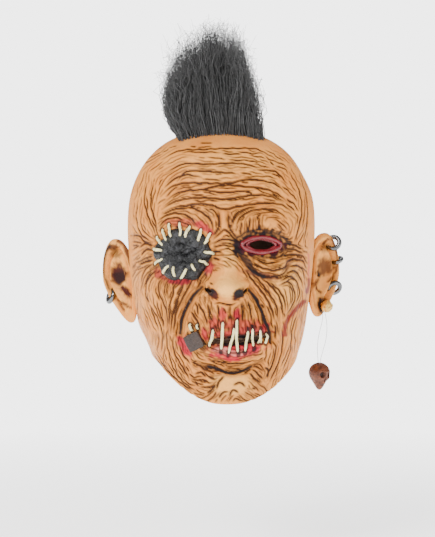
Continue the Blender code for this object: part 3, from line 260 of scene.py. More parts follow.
# Creases that are drawn as they are in the photograph and that steer the fine ones
# round them: spacing of the fine ones in pixels, depth in millimetres, and the line.
GUIDES = (
    # forehead
    (5.0, 0.9, ((161.9, 159.3), (177.2, 151.0), (201.4, 149.1), (235.9, 147.9), (257.6, 149.1),
        (276.7, 159.3))),
    (5.0, 1.0, ((223.1, 153.6), (241.0, 153.6))),
    (5.0, 0.9, UPPER_LINE),
    (5.0, 1.0, ((177.2, 181.0), (184.8, 172.1), (200.2, 170.6), (214.2, 171.5), (238.4, 173.4))),
    (5.0, 0.9, ((257.6, 169.5), (276.7, 172.1), (286.9, 183.6))),
    (4.5, 0.9, ((164.4, 187.4), (174.6, 178.5), (184.8, 174.6), (201.4, 177.2))),
    (4.5, 1.1, ((160.6, 196.3), (172.1, 186.1), (184.8, 182.9), (201.4, 182.9), (232.0, 182.3),
        (244.8, 179.7), (262.7, 180.4), (276.7, 184.8), (288.2, 195.1))),
    (4.5, 1.1, ((163.2, 202.7), (174.6, 193.8), (189.9, 189.9), (201.4, 189.3), (211.6, 186.8),
        (232.0, 184.8), (244.8, 186.1), (262.7, 188.0), (276.7, 192.5), (289.4, 202.7))),
    (4.5, 0.9, ((201.4, 189.3), (219.3, 192.1), (241.0, 191.2), (252.4, 190.6))),
    (4.5, 1.2, ((161.9, 209.1), (172.1, 202.7), (184.8, 198.9), (206.5, 197.6), (225.7, 198.9),
        (238.4, 197.0), (251.2, 195.1), (270.3, 196.3), (283.1, 202.7))),
    (4.5, 1.2, ((161.9, 212.9), (172.1, 207.8), (186.1, 205.3), (201.4, 203.3), (212.9, 205.3),
        (224.4, 208.8), (235.9, 206.5), (251.2, 204.0), (269.0, 202.7), (285.6, 206.5),
        (293.3, 212.9))),
    (5.0, 0.8, ((201.4, 142.5), (211.6, 142.5))),
    # brows
    (4.5, 1.6, LEFT_FROWN),
    (4.5, 1.6, RIGHT_FROWN),
    (4.5, 1.1, ((186.1, 206.5), (201.4, 211.6), (211.6, 221.8), (212.9, 232.0))),
    (4.5, 0.9, ((158.3, 220.0), (167.4, 214.6), (178.1, 213.0), (190.0, 217.5), (197.5, 227.0))),
    (4.5, 0.8, ((158.5, 227.0), (165.9, 219.5), (175.1, 217.5), (184.0, 220.5))),
    (4.5, 0.9, ((161.9, 214.2), (174.6, 209.1), (188.7, 207.8))),
    (4.5, 1.1, ((230.8, 224.4), (235.9, 214.2), (244.8, 209.1), (257.6, 206.5))),
    (4.5, 1.0, ((235.9, 226.9), (241.0, 216.7), (252.4, 210.4), (263.9, 209.1), (276.7, 210.4),
        (286.9, 218.0))),
    (4.0, 0.7, ((241.0, 222.0), (241.0, 235.0))),
    (4.0, 0.7, ((250.0, 217.0), (248.5, 233.0))),
    (4.0, 0.7, ((259.5, 217.0), (258.0, 231.0))),
    # temples
    (4.5, 0.8, ((146.6, 183.6), (144.0, 201.4), (149.1, 219.3), (155.5, 234.6))),
    (4.5, 0.8, ((153.0, 183.6), (150.4, 201.4), (154.2, 219.3), (158.0, 230.0))),
    (4.5, 0.8, ((138.0, 200.0), (136.0, 218.0), (141.0, 234.0), (152.0, 242.5))),
    (4.5, 0.8, ((289.4, 172.1), (299.6, 191.2), (302.2, 209.1), (298.4, 229.5), (294.5, 242.2))),
    (4.5, 0.8, ((299.6, 174.6), (306.5, 196.3), (307.6, 219.3), (303.7, 242.2))),
    (4.0, 0.9, ((130.0, 235.3), (138.4, 236.0), (145.2, 242.1), (152.1, 242.9))),
    (4.0, 0.9, ((139.1, 247.5), (145.2, 243.7), (152.9, 245.5))),
    (4.0, 0.9, ((140.7, 255.1), (146.0, 249.8), (152.9, 250.5))),
    (4.0, 0.9, ((284.0, 243.3), (293.5, 244.9), (303.1, 248.9))),
    (4.0, 0.9, ((284.5, 247.5), (293.5, 249.5), (303.0, 253.0))),
    # left cheek
    (3.6, 0.9, ((152.9, 259.7), (145.2, 262.0), (138.4, 264.8))),
    (3.6, 1.0, ((152.9, 263.6), (146.0, 268.2), (142.2, 275.0), (140.7, 282.7))),
    (3.6, 1.1, ((158.3, 268.9), (150.6, 275.0), (146.2, 282.7), (145.5, 294.2), (147.8, 303.8))),
    (3.6, 1.2, ((162.8, 276.6), (158.3, 282.7), (157.5, 290.3), (161.3, 300.3), (165.9, 313.3),
        (166.9, 329.4))),
    (3.6, 1.1, ((178.1, 281.2), (173.6, 286.5), (172.8, 294.2), (170.0, 301.8), (169.0, 313.3),
        (169.0, 326.4))),
    (3.6, 1.1, ((185.0, 278.9), (181.2, 290.3), (176.1, 301.8), (171.7, 317.1), (171.0, 333.4))),
    (3.6, 1.1, ((195.0, 275.0), (188.9, 286.5), (182.7, 298.0), (176.1, 313.3), (173.8, 331.4))),
    (3.8, 1.0, ((137.6, 298.0), (136.8, 313.3), (140.7, 330.0))),
    (3.8, 1.1, ((149.1, 304.1), (153.7, 317.1), (158.3, 330.0))),
    (3.8, 1.1, ((156.7, 301.8), (159.8, 313.3), (163.6, 326.8))),
    (3.6, 0.8, ((206.0, 262.0), (201.0, 272.0), (197.0, 283.0))),
    (3.6, 0.8, ((213.5, 251.5), (221.0, 252.0))),
    (3.6, 0.8, ((213.0, 257.5), (219.5, 260.0))),
    # eye bag
    (3.6, 1.2, ((252.1, 261.9), (262.5, 268.0), (275.0, 270.2), (284.6, 267.0), (288.7, 259.7))),
    (3.6, 0.9, ((254.3, 258.5), (265.4, 263.2), (280.8, 261.1))),
    (3.6, 0.9, ((268.0, 257.4), (281.0, 256.0), (285.0, 251.0))),
    (3.6, 1.5, ((243.5, 262.5), (252.1, 270.6), (263.2, 277.3), (274.4, 276.8), (285.6, 272.8),
        (289.5, 264.8))),
    # right cheek
    (3.6, 1.0, ((282.4, 256.1), (292.7, 254.5), (302.7, 256.3), (307.5, 263.5))),
    (3.6, 1.0, ((285.6, 261.7), (295.1, 259.3), (303.1, 261.1), (306.9, 268.2))),
    (3.6, 1.0, ((290.3, 266.4), (298.3, 265.8), (303.4, 271.6), (304.8, 279.8))),
    (3.6, 1.0, ((285.6, 274.4), (295.1, 270.9), (300.5, 277.5), (302.7, 286.8))),
    (3.6, 1.0, ((280.8, 280.8), (291.7, 276.5), (298.4, 284.2), (299.5, 294.7), (296.1, 303.5))),
    (3.6, 1.0, ((279.2, 285.6), (288.2, 281.8), (294.2, 289.7), (295.6, 297.1), (292.1, 306.7),
        (286.7, 314.6))),
    (3.6, 1.2, ((244.9, 269.6), (251.3, 279.2), (259.3, 288.7), (266.4, 298.3), (271.8, 309.5),
        (274.5, 321.6))),
    (3.6, 1.1, CHEEK_LINE),
    (3.6, 1.1, ((259.3, 276.8), (268.5, 284.0), (277.6, 294.3), (281.9, 304.7), (283.0, 318.6))),
    (3.6, 1.0, ((269.6, 282.4), (280.3, 291.2), (285.1, 301.5), (285.1, 311.1))),
    (3.8, 0.9, ((296.7, 315.6), (293.3, 326.6), (290.7, 345.0))),
    # folds
    (4.0, 2.0, LEFT_FOLD),
    (4.0, 2.0, ((249.6, 289.5), (256.9, 300.4), (262.0, 311.6), (265.3, 321.6), (269.6, 330.1),
        (271.4, 337.1))),
    # upper lip
    (3.2, 0.8, ((207.4, 302.4), (209.3, 313.9), (213.2, 322.6))),
    (3.2, 0.8, ((197.9, 302.4), (203.6, 313.0), (207.4, 324.6))),
    (3.2, 0.8, ((190.9, 311.4), (195.6, 319.0), (200.4, 327.6))),
    (3.2, 0.8, ((217.5, 305.0), (219.5, 316.0))),
    (3.2, 0.8, ((229.5, 306.0), (230.2, 320.0))),
    (3.2, 0.8, ((240.9, 302.6), (242.3, 311.1), (242.9, 322.7))),
    (3.2, 0.8, ((247.6, 300.7), (250.5, 310.2), (251.4, 321.6))),
    (3.2, 0.8, ((254.3, 305.5), (258.1, 315.9), (259.6, 325.5))),
    # jaw
    (3.8, 1.0, ((150.0, 306.4), (158.6, 320.7), (162.3, 335.9), (161.0, 352.0))),
    (3.8, 1.0, ((168.2, 326.9), (166.3, 337.3), (167.7, 349.4), (172.5, 366.6), (179.8, 379.0),
        (195.8, 391.1))),
    (3.8, 1.0, ((174.0, 334.9), (172.5, 343.3), (174.0, 352.4), (180.2, 363.7), (189.3, 379.9))),
    (3.8, 0.9, ((179.3, 343.6), (182.7, 355.2), (190.4, 363.7))),
    (3.8, 0.9, ((155.7, 353.0), (165.3, 368.3), (178.7, 381.7), (192.1, 391.3))),
    (3.8, 1.0, ((272.5, 340.3), (275.8, 348.6), (272.9, 363.8), (265.6, 378.1))),
    (3.8, 1.0, ((282.1, 326.6), (283.0, 341.8), (280.1, 359.0), (270.0, 381.0))),
    (4.2, 0.8, ((292.0, 331.0), (290.5, 350.0), (283.0, 370.0))),
    # chin
    (3.4, 1.8, ((203.4, 365.1), (211.4, 367.6), (220.9, 369.9), (229.4, 372.8), (240.9, 371.3),
        (251.4, 367.1))),
    (3.4, 0.9, ((191.4, 361.3), (200.3, 367.0), (207.8, 372.0))),
    (3.4, 0.9, ((195.0, 374.2), (201.0, 372.3), (206.0, 376.1))),
    (3.4, 0.9, ((200.0, 386.7), (210.0, 387.6), (216.0, 384.7))),
    (3.4, 0.9, ((207.4, 393.3), (213.1, 388.7), (215.1, 385.7))),
    (3.4, 0.9, ((224.0, 376.5), (219.0, 381.5), (216.5, 389.0))),
    (3.4, 0.9, ((234.2, 384.7), (240.0, 382.8), (245.7, 386.7))),
    (3.4, 0.9, ((218.9, 398.1), (222.7, 393.3), (228.5, 391.4))),
    (3.4, 0.9, ((229.4, 396.2), (233.3, 390.5), (238.0, 393.0))),
    (3.4, 1.1, ((249.6, 373.2), (255.3, 378.9), (261.0, 383.7))),
    (3.4, 1.0, ((252.4, 369.4), (259.0, 374.5), (263.0, 379.0))),
    (3.4, 0.9, ((264.8, 366.6), (268.6, 370.4), (267.7, 377.9))),
    (3.4, 0.9, ((206.0, 358.0), (216.0, 361.0), (228.0, 363.5), (243.0, 363.0), (256.0, 359.5))),
    # nose
    (5.0, 0.9, ((212.6, 239.8), (219.5, 233.7), (224.8, 229.6), (230.2, 233.7), (234.8, 239.1),
        (237.1, 243.7))),
    (5.0, 1.0, ((214.1, 242.9), (221.8, 239.6), (229.4, 239.6), (236.3, 242.6))),
    (5.0, 0.9, ((214.1, 246.7), (221.8, 245.2), (234.8, 246.5))),
    (5.0, 1.0, ((214.5, 304.0), (222.0, 303.4), (229.0, 305.5), (237.0, 302.5))),
)

# Places that stay smooth: middle and half sizes in pixels.
SMOOTH_PLACES = (
    (228.0, 286.0, 20.0, 18.0),  # nose
    (180.0, 253.0, 27.0, 25.0),  # under the patch
    (263.0, 245.0, 21.0, 12.0),  # eye
    (232.0, 384.0, 16.0, 11.0),  # chin
    (240.0, 341.0, 31.0, 8.0),  # mouth
    (168.0, 218.0, 5.0, 3.0),  # left brow
    (270.0, 224.0, 6.0, 4.0),  # right brow
    (224.0, 222.0, 3.0, 11.0),  # between the brows
)
# Part of the photograph that the fine creases fill, as left, top, right and bottom.
CREASED_AREA = (132.0, 146.0, 308.0, 402.0)
FLOW_CELL = 2.0
TRACE_STEP = 0.8
SEED_TRIES = 9000
FINE_DEPTH = (0.65, 1.15)
FINE_LENGTH = (16.0, 64.0)
FINE_WIDTH = (0.85, 1.10)
FINE_DARK = (0.35, 1.05)
GUIDE_WIDTH = 0.95
GUIDE_WIDENING = 0.28
GUIDE_DEPTH = 1.3
GUIDE_DARK = 1.15
SAMPLE_STEP = 0.5
GROOVE_REACH = 0.0060
# Deepest point of any crease, inside the wall, and swelling of the skin beside a fold.
DEEPEST = 0.00145
# Share of a crease's depth at the edges of holes, and how paint fades at the outline.
EDGE_SHARE = 0.4
PAINT_FADE = (0.02, 0.25)
FOLD_FLANKS = 0.40

# Wide folds and swellings: depth in millimetres, negative where it swells, half width
# in pixels, strength of the dark wash and painted shade in it, and its line.
# Columns: depth, half_width, wash_and_shade, line.
WIDE_FOLDS = (
    (2.6, 3.6, 0.75, ((201.5, 286.5), (194.0, 295.5), (187.3, 306.0), (181.8, 319.5),
                      (180.0, 334.0))),
    (2.6, 3.6, 0.75, ((249.6, 289.5), (256.9, 300.4), (262.0, 311.6), (265.3, 321.6),
                      (269.6, 330.1), (271.4, 340.1))),
    (1.8, 2.6, 0.6, LEFT_FROWN),
    (1.8, 2.6, 0.6, RIGHT_FROWN),
    (1.8, 3.0, 0.6, ((241.5, 256.0), (246.0, 265.0), (254.1, 273.6), (264.2, 278.3),
                     (274.4, 277.3), (285.6, 272.8), (289.5, 264.8))),
    (2.2, 3.0, 0.7, ((197.8, 364.0), (207.4, 366.6), (218.9, 369.4), (229.4, 372.8),
                     (240.9, 371.3), (251.4, 366.6), (263.0, 361.0))),
    (1.6, 2.2, 0.45, ((205.5, 278.5), (201.7, 283.0), (203.2, 289.5), (208.0, 292.5))),
    (1.6, 2.2, 0.45, ((246.5, 278.5), (250.6, 283.5), (248.6, 290.0), (244.6, 293.0))),
    (1.3, 2.4, 0.35, ((186.1, 205.3), (201.4, 203.3), (212.9, 205.3), (224.4, 208.8),
                      (235.9, 206.5), (251.2, 204.0), (269.0, 202.7))),
    (0.9, 2.4, 0.3, ((163.2, 202.7), (174.6, 193.8), (189.9, 189.9), (211.6, 186.8),
                     (232.0, 184.8), (262.7, 188.0), (276.7, 192.5), (289.4, 202.7))),
    (0.9, 2.4, 0.3, UPPER_LINE),
    (1.2, 2.6, 0.4, ((162.8, 276.6), (158.3, 284.7), (158.5, 293.3), (162.3, 303.3),
                     (166.9, 329.4))),
    (1.2, 2.6, 0.4, ((188.0, 279.0), (183.0, 292.0), (176.0, 306.0), (171.5, 326.0))),
    (1.3, 2.8, 0.45, CHEEK_LINE),
    (2.6, 4.2, 0.0, ((209.0, 341.5), (222.0, 341.5), (238.0, 340.5), (254.0, 338.5),
                     (268.0, 336.5))),
    (-1.4, 4.6, 0.0, ((204.8, 283.6), (206.6, 285.0))),
    (-1.4, 4.6, 0.0, ((245.6, 284.0), (247.2, 285.2))),
    (-1.4, 4.0, 0.0, ((213.0, 352.0), (226.0, 354.5), (242.0, 354.0), (256.0, 348.0))),
    (-1.2, 3.6, 0.0, ((212.0, 331.0), (226.0, 330.0), (240.0, 329.0), (256.0, 328.5))),
    (-1.5, 5.0, 0.0, ((252.0, 264.5), (266.0, 268.0), (281.0, 265.0))),
    (-1.2, 5.0, 0.0, ((246.0, 226.0), (262.0, 224.0), (280.0, 228.0))),
)

# Paint on the skin: mask, middle and half sizes in pixels, turn, and how strong it is.
# Columns: mask, x, y, half_width, half_height, turn, strength.
# Much of the black and brown here is painted shade, and pale and pink are painted highlight.
PAINT_SPOTS = (
    ("black", 239.5, 247.0, 7.5, 10.5, 10.0, 1.0),  # painted shade at the inner corner of the eye
    ("black", 261.5, 244.5, 29.0, 16.0, 0.0, 1.0),  # painted shade round the lids
    ("maroon", 261.5, 246.0, 21.0, 8.5, 0.0, 1.0),  # between the lids
    ("black", 248.0, 262.0, 8.5, 3.6, 50.0, 0.85),  # painted shade under the inner corner
    ("purple", 262.0, 275.0, 19.0, 3.4, 12.0, 0.8),  # under the bag
    ("purple", 288.5, 264.0, 3.6, 8.0, 15.0, 0.6),  # outer end of the bag
    ("red", 202.0, 226.5, 9.0, 4.5, 30.0, 0.9),  # over the patch, inner side
    ("red", 210.5, 232.0, 4.0, 3.5, 0.0, 0.95),
    ("red", 180.0, 222.5, 16.0, 4.4, 0.0, 0.6),  # over the patch
    ("red", 208.0, 268.0, 6.0, 8.0, -35.0, 0.9),  # beside the patch
    ("red", 180.0, 281.0, 15.0, 4.0, 0.0, 1.0),  # under the patch
    ("red", 160.0, 274.0, 7.0, 5.0, 30.0, 0.75),
    ("black", 182.0, 254.0, 30.5, 27.5, 0.0, 0.8),  # shadow round the patch
    ("red", 240.0, 326.0, 27.0, 8.0, 4.0, 0.75),  # upper lip
    ("red", 238.0, 333.0, 31.0, 7.0, -3.0, 0.9),
    # Painted shade under the upper lip.
    ("brown", 240.0, 335.5, 29.0, 3.5, -4.0, 0.8),
    ("red", 236.0, 346.5, 30.0, 7.5, -5.0, 0.9),
    ("red", 213.5, 325.0, 5.0, 9.0, 0.0, 0.8),
    ("red", 222.5, 315.0, 4.5, 7.0, 0.0, 0.85),
    ("red", 237.0, 315.5, 4.2, 7.0, 0.0, 1.0),
    ("red", 264.0, 329.0, 5.0, 8.0, 35.0, 0.95),
    ("red", 236.0, 351.5, 28.0, 7.5, -6.0, 1.0),  # lower lip
    ("red", 231.0, 358.5, 12.0, 3.2, 3.0, 1.0),
    # Painted highlight on the lower lip.
    ("pink", 222.0, 350.0, 9.0, 3.6, 5.0, 0.8),
    ("pink", 236.0, 353.0, 10.0, 2.6, -4.0, 0.6),
    ("red", 185.0, 346.0, 6.0, 12.0, -25.0, 1.0),  # flesh behind the tag
    ("red", 205.0, 335.0, 3.4, 7.0, -20.0, 0.9),
    ("black", 239.0, 340.5, 31.0, 5.6, -6.0, 1.0),  # painted shade between the lips
    ("black", 204.5, 347.0, 4.5, 7.0, 30.0, 0.55),  # shadow of the tag
    # Painted shade in the nostrils, these four rows.
    ("black", 209.5, 291.0, 6.0, 4.0, 32.0, 1.0),  # painted shade in the left nostril
    ("brown", 213.0, 294.0, 7.5, 4.5, 38.0, 1.0),
    ("black", 239.5, 293.0, 6.0, 4.0, -42.0, 1.0),  # painted shade in the right nostril
    ("brown", 238.0, 295.0, 7.5, 4.5, -42.0, 1.0),
    ("black", 212.0, 284.0, 1.2, 1.2, 0.0, 0.9),  # mole
    # Pale spots: paler paint and painted highlight on the raised places.
    ("pale", 230.0, 262.0, 7.0, 26.0, 0.0, 0.6),  # nose
    ("pale", 229.0, 287.0, 13.0, 12.0, 0.0, 1.0),
    ("pale", 232.0, 384.0, 22.0, 12.0, 0.0, 0.7),  # chin
    ("pale", 288.0, 285.0, 16.0, 26.0, 0.0, 0.5),  # right cheek
    ("pale", 230.0, 165.0, 50.0, 16.0, 0.0, 0.3),  # forehead
    ("pale", 117.0, 270.0, 19.0, 42.0, 0.0, 0.55),  # ears
    ("pale", 326.0, 274.0, 17.0, 42.0, 0.0, 0.55),
    # Painted shade in the bowls and crevices of the ears, and behind the stud.
    ("brown", 118.5, 275.0, 8.5, 11.5, 8.0, 1.0),  # painted shade in the bowl of the left ear
    ("black", 119.5, 277.5, 6.0, 8.0, 8.0, 0.7),
    ("brown", 125.5, 291.0, 4.2, 8.5, -38.0, 1.0),
    ("black", 115.5, 254.5, 5.5, 5.0, 10.0, 0.7),
    ("brown", 112.0, 247.5, 7.5, 3.4, -8.0, 0.9),
    ("brown", 325.5, 267.0, 8.5, 9.5, 0.0, 0.85),  # painted shade in the bowl of the right ear
    ("brown", 325.0, 248.0, 6.0, 5.0, -30.0, 0.55),
    ("black", 318.3, 273.5, 1.8, 5.0, 0.0, 1.0),
    ("brown", 322.0, 305.0, 5.0, 9.0, 0.0, 0.9),  # painted shadow behind the stud
)
PAINT_LINES = (
    ("blood", 2.7, ((304.5, 301.5), (296.7, 308.4), (288.7, 317.6), (285.4, 325.6),
                    (284.8, 335.0))),
    ("blood", 2.2, ((309.1, 280.0), (309.2, 285.6), (307.1, 291.9))),
    ("redline", 1.0, ((308.2, 253.9), (309.0, 263.2), (308.4, 276.8))),
    # Painted shade in the crease over the eye and under its inner corner.
    ("black", 1.6, ((238.0, 238.0), (246.0, 232.0), (258.0, 229.5), (271.0, 231.0),
                    (283.0, 237.0), (290.0, 245.0))),
    ("black", 2.6, ((242.0, 255.0), (246.5, 263.5), (254.5, 272.0), (264.0, 277.0))),
    # Painted shade in the folds beside the mouth and in the crease over the chin.
    ("black", 1.5, LEFT_FOLD),
    ("black", 1.5, ((249.6, 289.5), (256.9, 300.4), (262.0, 311.6), (265.3, 321.6),
                    (270.4, 334.1), (270.5, 343.0))),
    ("black", 1.4, ((207.4, 366.6), (218.9, 369.4), (229.4, 372.8), (240.9, 371.3),
                    (251.4, 367.1))),
    # Painted shade in the crevices of the ears and where they meet the head.
    ("black", 1.3, ((110.0, 245.0), (105.6, 252.0), (103.9, 262.0), (103.7, 272.0),
                    (105.6, 281.5), (109.0, 291.0))),  # painted shade inside the rim of the left ear
    ("brown", 2.6, ((118.5, 240.5), (123.5, 243.5), (126.5, 250.0), (129.0, 257.0),
                    (130.5, 264.0))),
    ("brown", 1.4, ((117.0, 300.0), (122.0, 303.0), (126.5, 305.5), (131.0, 308.0))),
    ("brown", 1.2, ((121.0, 304.5), (124.0, 310.0))),
    ("brown", 1.5, ((136.5, 312.0), (138.5, 318.0), (134.5, 321.5))),
    ("brown", 1.4, ((321.5, 249.5), (323.5, 243.0), (328.0, 239.0), (332.0, 239.5),
                    (335.5, 247.0), (337.0, 254.0))),  # painted shade inside the rim of the right ear
    ("brown", 1.4, ((336.5, 256.0), (337.5, 264.0), (336.5, 271.0), (332.5, 277.5),
                    (328.5, 281.5))),
    ("brown", 1.5, ((313.8, 241.0), (312.8, 250.0), (312.6, 262.0), (311.6, 276.0),
                    (310.6, 290.0), (307.6, 305.0))),  # painted shade where it meets the head
    ("brown", 1.3, ((317.5, 279.0), (315.0, 284.0), (316.5, 289.0), (321.0, 293.0))),
    ("black", 1.6, ((320.2, 299.0), (319.0, 305.0), (320.8, 311.0), (324.0, 313.6))),
)
# Half width in pixels of the painted shade round each stitch.
STITCH_HALO = 2.3
# Paint further out than these columns of pixels is on the ears.
EAR_PAINT = (133.0, 311.5)
# wash, brown and black carry painted shade; pale and pink carry painted highlight.
MASKS = ("wash_and_shade", "red", "pink", "black", "brown", "maroon", "purple", "pale", "blood")

# Stitches: both ends in pixels, how far the middle bows sideways, and thickness share.
# Columns: x, y, end_x, end_y, bow, girth.
PATCH_STITCHES = (
    (156.4, 236.5, 162.1, 245.4, 0.5, 1.0),
    (162.1, 229.4, 165.8, 240.3, 0.9, 1.0),
    (168.4, 223.3, 170.4, 236.8, 1.0, 1.0),
    (179.0, 222.7, 179.6, 235.7, 1.6, 1.0),
    (189.7, 226.5, 185.1, 237.1, 0.0, 1.1),
    (201.1, 229.4, 198.0, 240.8, 0.0, 1.1),
    (210.3, 232.8, 204.6, 243.7, 0.0, 1.1),
    (204.3, 252.0, 213.8, 253.7, 0.0, 1.15),
    (199.1, 260.6, 207.5, 264.4, 0.0, 1.0),
    (191.7, 264.4, 195.1, 270.4, 0.0, 1.0),
    (186.5, 269.0, 180.5, 278.7, -0.4, 1.1),
    (173.3, 266.7, 174.7, 276.7, 0.0, 1.0),
    (168.4, 265.5, 163.0, 273.6, 0.0, 1.0),
    (162.4, 258.6, 154.4, 264.4, 0.0, 0.95),
    (153.5, 249.4, 161.5, 250.3, 0.0, 1.1),
)
MOUTH_STITCHES = (
    (190.0, 323.8, 192.5, 331.0, 0.0, 1.0),
    (197.0, 324.5, 198.0, 329.0, 0.0, 0.8),
    (213.2, 328.5, 208.9, 346.0, 0.9, 1.15),
    (222.8, 322.0, 221.2, 352.4, 0.0, 1.15),
    (234.4, 325.7, 228.0, 355.6, 0.3, 1.0),
    (237.2, 319.0, 238.2, 354.8, -1.6, 1.1),
    (248.3, 328.5, 244.7, 353.2, -0.6, 1.0),
    (252.7, 326.5, 253.4, 350.0, -1.4, 0.95),
    (259.6, 328.0, 261.0, 343.6, -0.9, 0.85),
    (261.0, 332.0, 257.5, 344.0, 0.0, 0.8),
    (267.0, 334.0, 264.7, 344.4, -0.5, 1.0),
)
STITCH_POINTS = 11
STITCH_LIFT = 0.0013
STITCH_SIDES = 8

# Pits of the patch: middle in pixels, half size in pixels, and depth in millimetres.
PATCH_PITS = (
    (180.0, 245.0, 2.6, 2.4),
    (185.2, 253.8, 2.4, 2.4),
    (173.8, 248.0, 1.5, 1.4),
    (195.0, 249.5, 1.6, 1.2),
    (184.0, 261.5, 5.0, 0.8),
    (168.0, 255.0, 1.5, 0.8),
)

# Rolled lids: stretch across and up of the eye's outline, and radius of the roll.
LID_RINGS = ((1.50, 1.46, 0.0019), (1.12, 1.14, 0.0012))
LID_SHIFT = -0.0020

FLOOR_HEIGHT = -0.440
FLOOR_REACH = 30.0
SKIN_FACES, EAR_FACES, INSIDE_FACES, HOLE_FACES = range(4)


class MaskSkinLooks(bpy.types.PropertyGroup):
    """Sizes and colours of the latex skin."""

    crease_depth: FloatProperty(
        name="Crease depth", description="Depth of the creases, as a share of their own",
        default=1.0, min=0.0, max=2.0)
    # How dark the wash in the creases and the painted shade in the folds are.
    crease_paint: FloatProperty(
        name="Crease paint", description="How dark the wash in the creases is",
        default=0.97, min=0.0, max=1.0)
    latex: FloatVectorProperty(
        name="Latex", description="Colour of the latex", subtype="COLOR",
        default=(0.72, 0.285, 0.058), min=0.0, max=1.0)
    # Colour of the paler paint and painted highlight on the raised places.
    pale_paint_and_highlight: FloatVectorProperty(
        name="Pale latex", description="Colour of the raised places", subtype="COLOR",
        default=(0.84, 0.40, 0.092), min=0.0, max=1.0)
    # Colour of the dark wash in the creases and of the painted shade in the folds.
    wash_and_shade: FloatVectorProperty(
        name="Wash", description="Colour of the dark wash", subtype="COLOR",
        default=(0.026, 0.007, 0.003), min=0.0, max=1.0)
    sore: FloatVectorProperty(
        name="Sore skin", description="Colour of the sore skin and the lips",
        subtype="COLOR", default=(0.46, 0.024, 0.036), min=0.0, max=1.0)


class MaskTrimLooks(bpy.types.PropertyGroup):
    """Sizes and colours of what is sewn or hung on the skin."""

    stitch_radius: FloatProperty(
        name="Stitch radius", description="Radius of the thread of the stitches",
        default=0.00135, min=0.0005, max=0.003, unit="LENGTH")
    stitch_colour: FloatVectorProperty(
        name="Stitches", description="Colour of the stitches", subtype="COLOR",
        default=(0.95, 0.84, 0.42), min=0.0, max=1.0)
    patch_colour: FloatVectorProperty(
        name="Patch", description="Colour of the patch", subtype="COLOR",
        default=(0.0035, 0.0035, 0.004), min=0.0, max=1.0)
    steel_roughness: FloatProperty(
        name="Steel roughness", description="Roughness of the rings", subtype="FACTOR",
        default=0.22, min=0.0, max=1.0)


class MaskHairLooks(bpy.types.PropertyGroup):
    """Sizes and colours of the hair."""

    strands: IntProperty(
        name="Strands", description="Strands of each of the three parts of the hair",
        default=2250, min=10, max=4000)
    strand_radius: FloatProperty(
        name="Strand radius", description="Radius of a strand at its root",
        default=0.00035, min=0.0001, max=0.001, unit="LENGTH")
    crimp: FloatProperty(
        name="Crimp", description="How far the waves of a strand swing",
        default=0.0011, min=0.0, max=0.01, unit="LENGTH")
    crimp_length: FloatProperty(
        name="Crimp length", description="Length of one wave of a strand",
        default=0.0085, min=0.001, max=0.1, unit="LENGTH")
    hair_colour: FloatVectorProperty(
        name="Hair", description="Colour of the hair", subtype="COLOR",
        default=(0.008, 0.008, 0.008), min=0.0, max=1.0)


class MaskStageLooks(bpy.types.PropertyGroup):
    """Light and floor."""

    key_power: FloatProperty(
        name="Key light", description="Power of the key light", default=48.0, min=0.0,
        unit="POWER")
    fill_power: FloatProperty(
        name="Fill light", description="Power of the fill light", default=9.0, min=0.0,
        unit="POWER")
    sky: FloatProperty(
        name="Sky", description="Strength of the light from all round", default=0.42,
        min=0.0)
    backdrop: FloatProperty(
        name="Backdrop", description="Brightness of the far floor and the sky as seen",
        default=4.2, min=0.0)
    floor_colour: FloatVectorProperty(
        name="Floor", description="Colour of the floor under the mask",
        subtype="COLOR", default=(0.88, 0.88, 0.87), min=0.0, max=1.0)


def smooth_step(low, high, value):
    """Ease from 0 at low to 1 at high."""
    share = np.clip((value - low) / (high - low), 0.0, 1.0)
    return share * share * (3.0 - 2.0 * share)


def spline(knots, values, where):
    """Read a smooth curve through the knots with tangents from their neighbours."""
    knots = np.asarray(knots, float)
    values = np.asarray(values, float)
    tangents = np.gradient(values, knots)
    index = np.clip(np.searchsorted(knots, where) - 1, 0, len(knots) - 2)
    span = knots[index + 1] - knots[index]
    share = np.clip((where - knots[index]) / span, 0.0, 1.0)
    square = share * share
    cube = square * share
    return ((2 * cube - 3 * square + 1) * values[index]
            + (cube - 2 * square + share) * span * tangents[index]
            + (3 * square - 2 * cube) * values[index + 1]
            + (cube - square) * span * tangents[index + 1])


def section(down):
    """Left, right, front and back reach of the bare head at a height."""
    table = np.asarray(SECTIONS)
    knots = np.sqrt(table[:, 0])
    where = np.sqrt(np.maximum(down, 0.0))
    left = spline(knots, table[:, 1], where) * HALF_WIDTH
    right = spline(knots, table[:, 2], where) * HALF_WIDTH
    front = spline(knots, table[:, 3], where) * FRONT_DEPTH
    back = spline(knots, table[:, 4], where) * BACK_DEPTH
    return left, right, front, back


def line_distance(x, y, points):
    """Distance from each place to a line through the points."""
    best = np.full(np.shape(x), 1e6)
    for start, end in zip(points[:-1], points[1:]):
        start = np.asarray(start, float)
        run = np.asarray(end, float) - start
        share = ((x - start[0]) * run[0] + (y - start[1]) * run[1]) / run.dot(run)
        share = np.clip(share, 0.0, 1.0)
        gap = np.hypot(x - start[0] - share * run[0], y - start[1] - share * run[1])
        best = np.minimum(best, gap)
    return best


def face_relief(across, down):
    """How far the face stands out of the bare head, from metres across and down."""
    relief = np.zeros(np.shape(across))
    for place, height, wide, tall, proud, blunt in FEATURES:
        sideways = (across - place * HALF_WIDTH) / (wide * HALF_WIDTH)
        upright = (down - height * SKIN_HEIGHT) / (tall * SKIN_HEIGHT)
        reach = np.hypot(sideways, upright)
        relief = relief + proud * RELIEF * np.exp(-reach ** blunt)
    for points in FOLDS:
        line = [(x * HALF_WIDTH, y * SKIN_HEIGHT) for x, y in points]
        gap = line_distance(across, down, line)
        relief = relief - FOLD_DEPTH * np.exp(-(gap / FOLD_WIDTH) ** 2)
    return relief


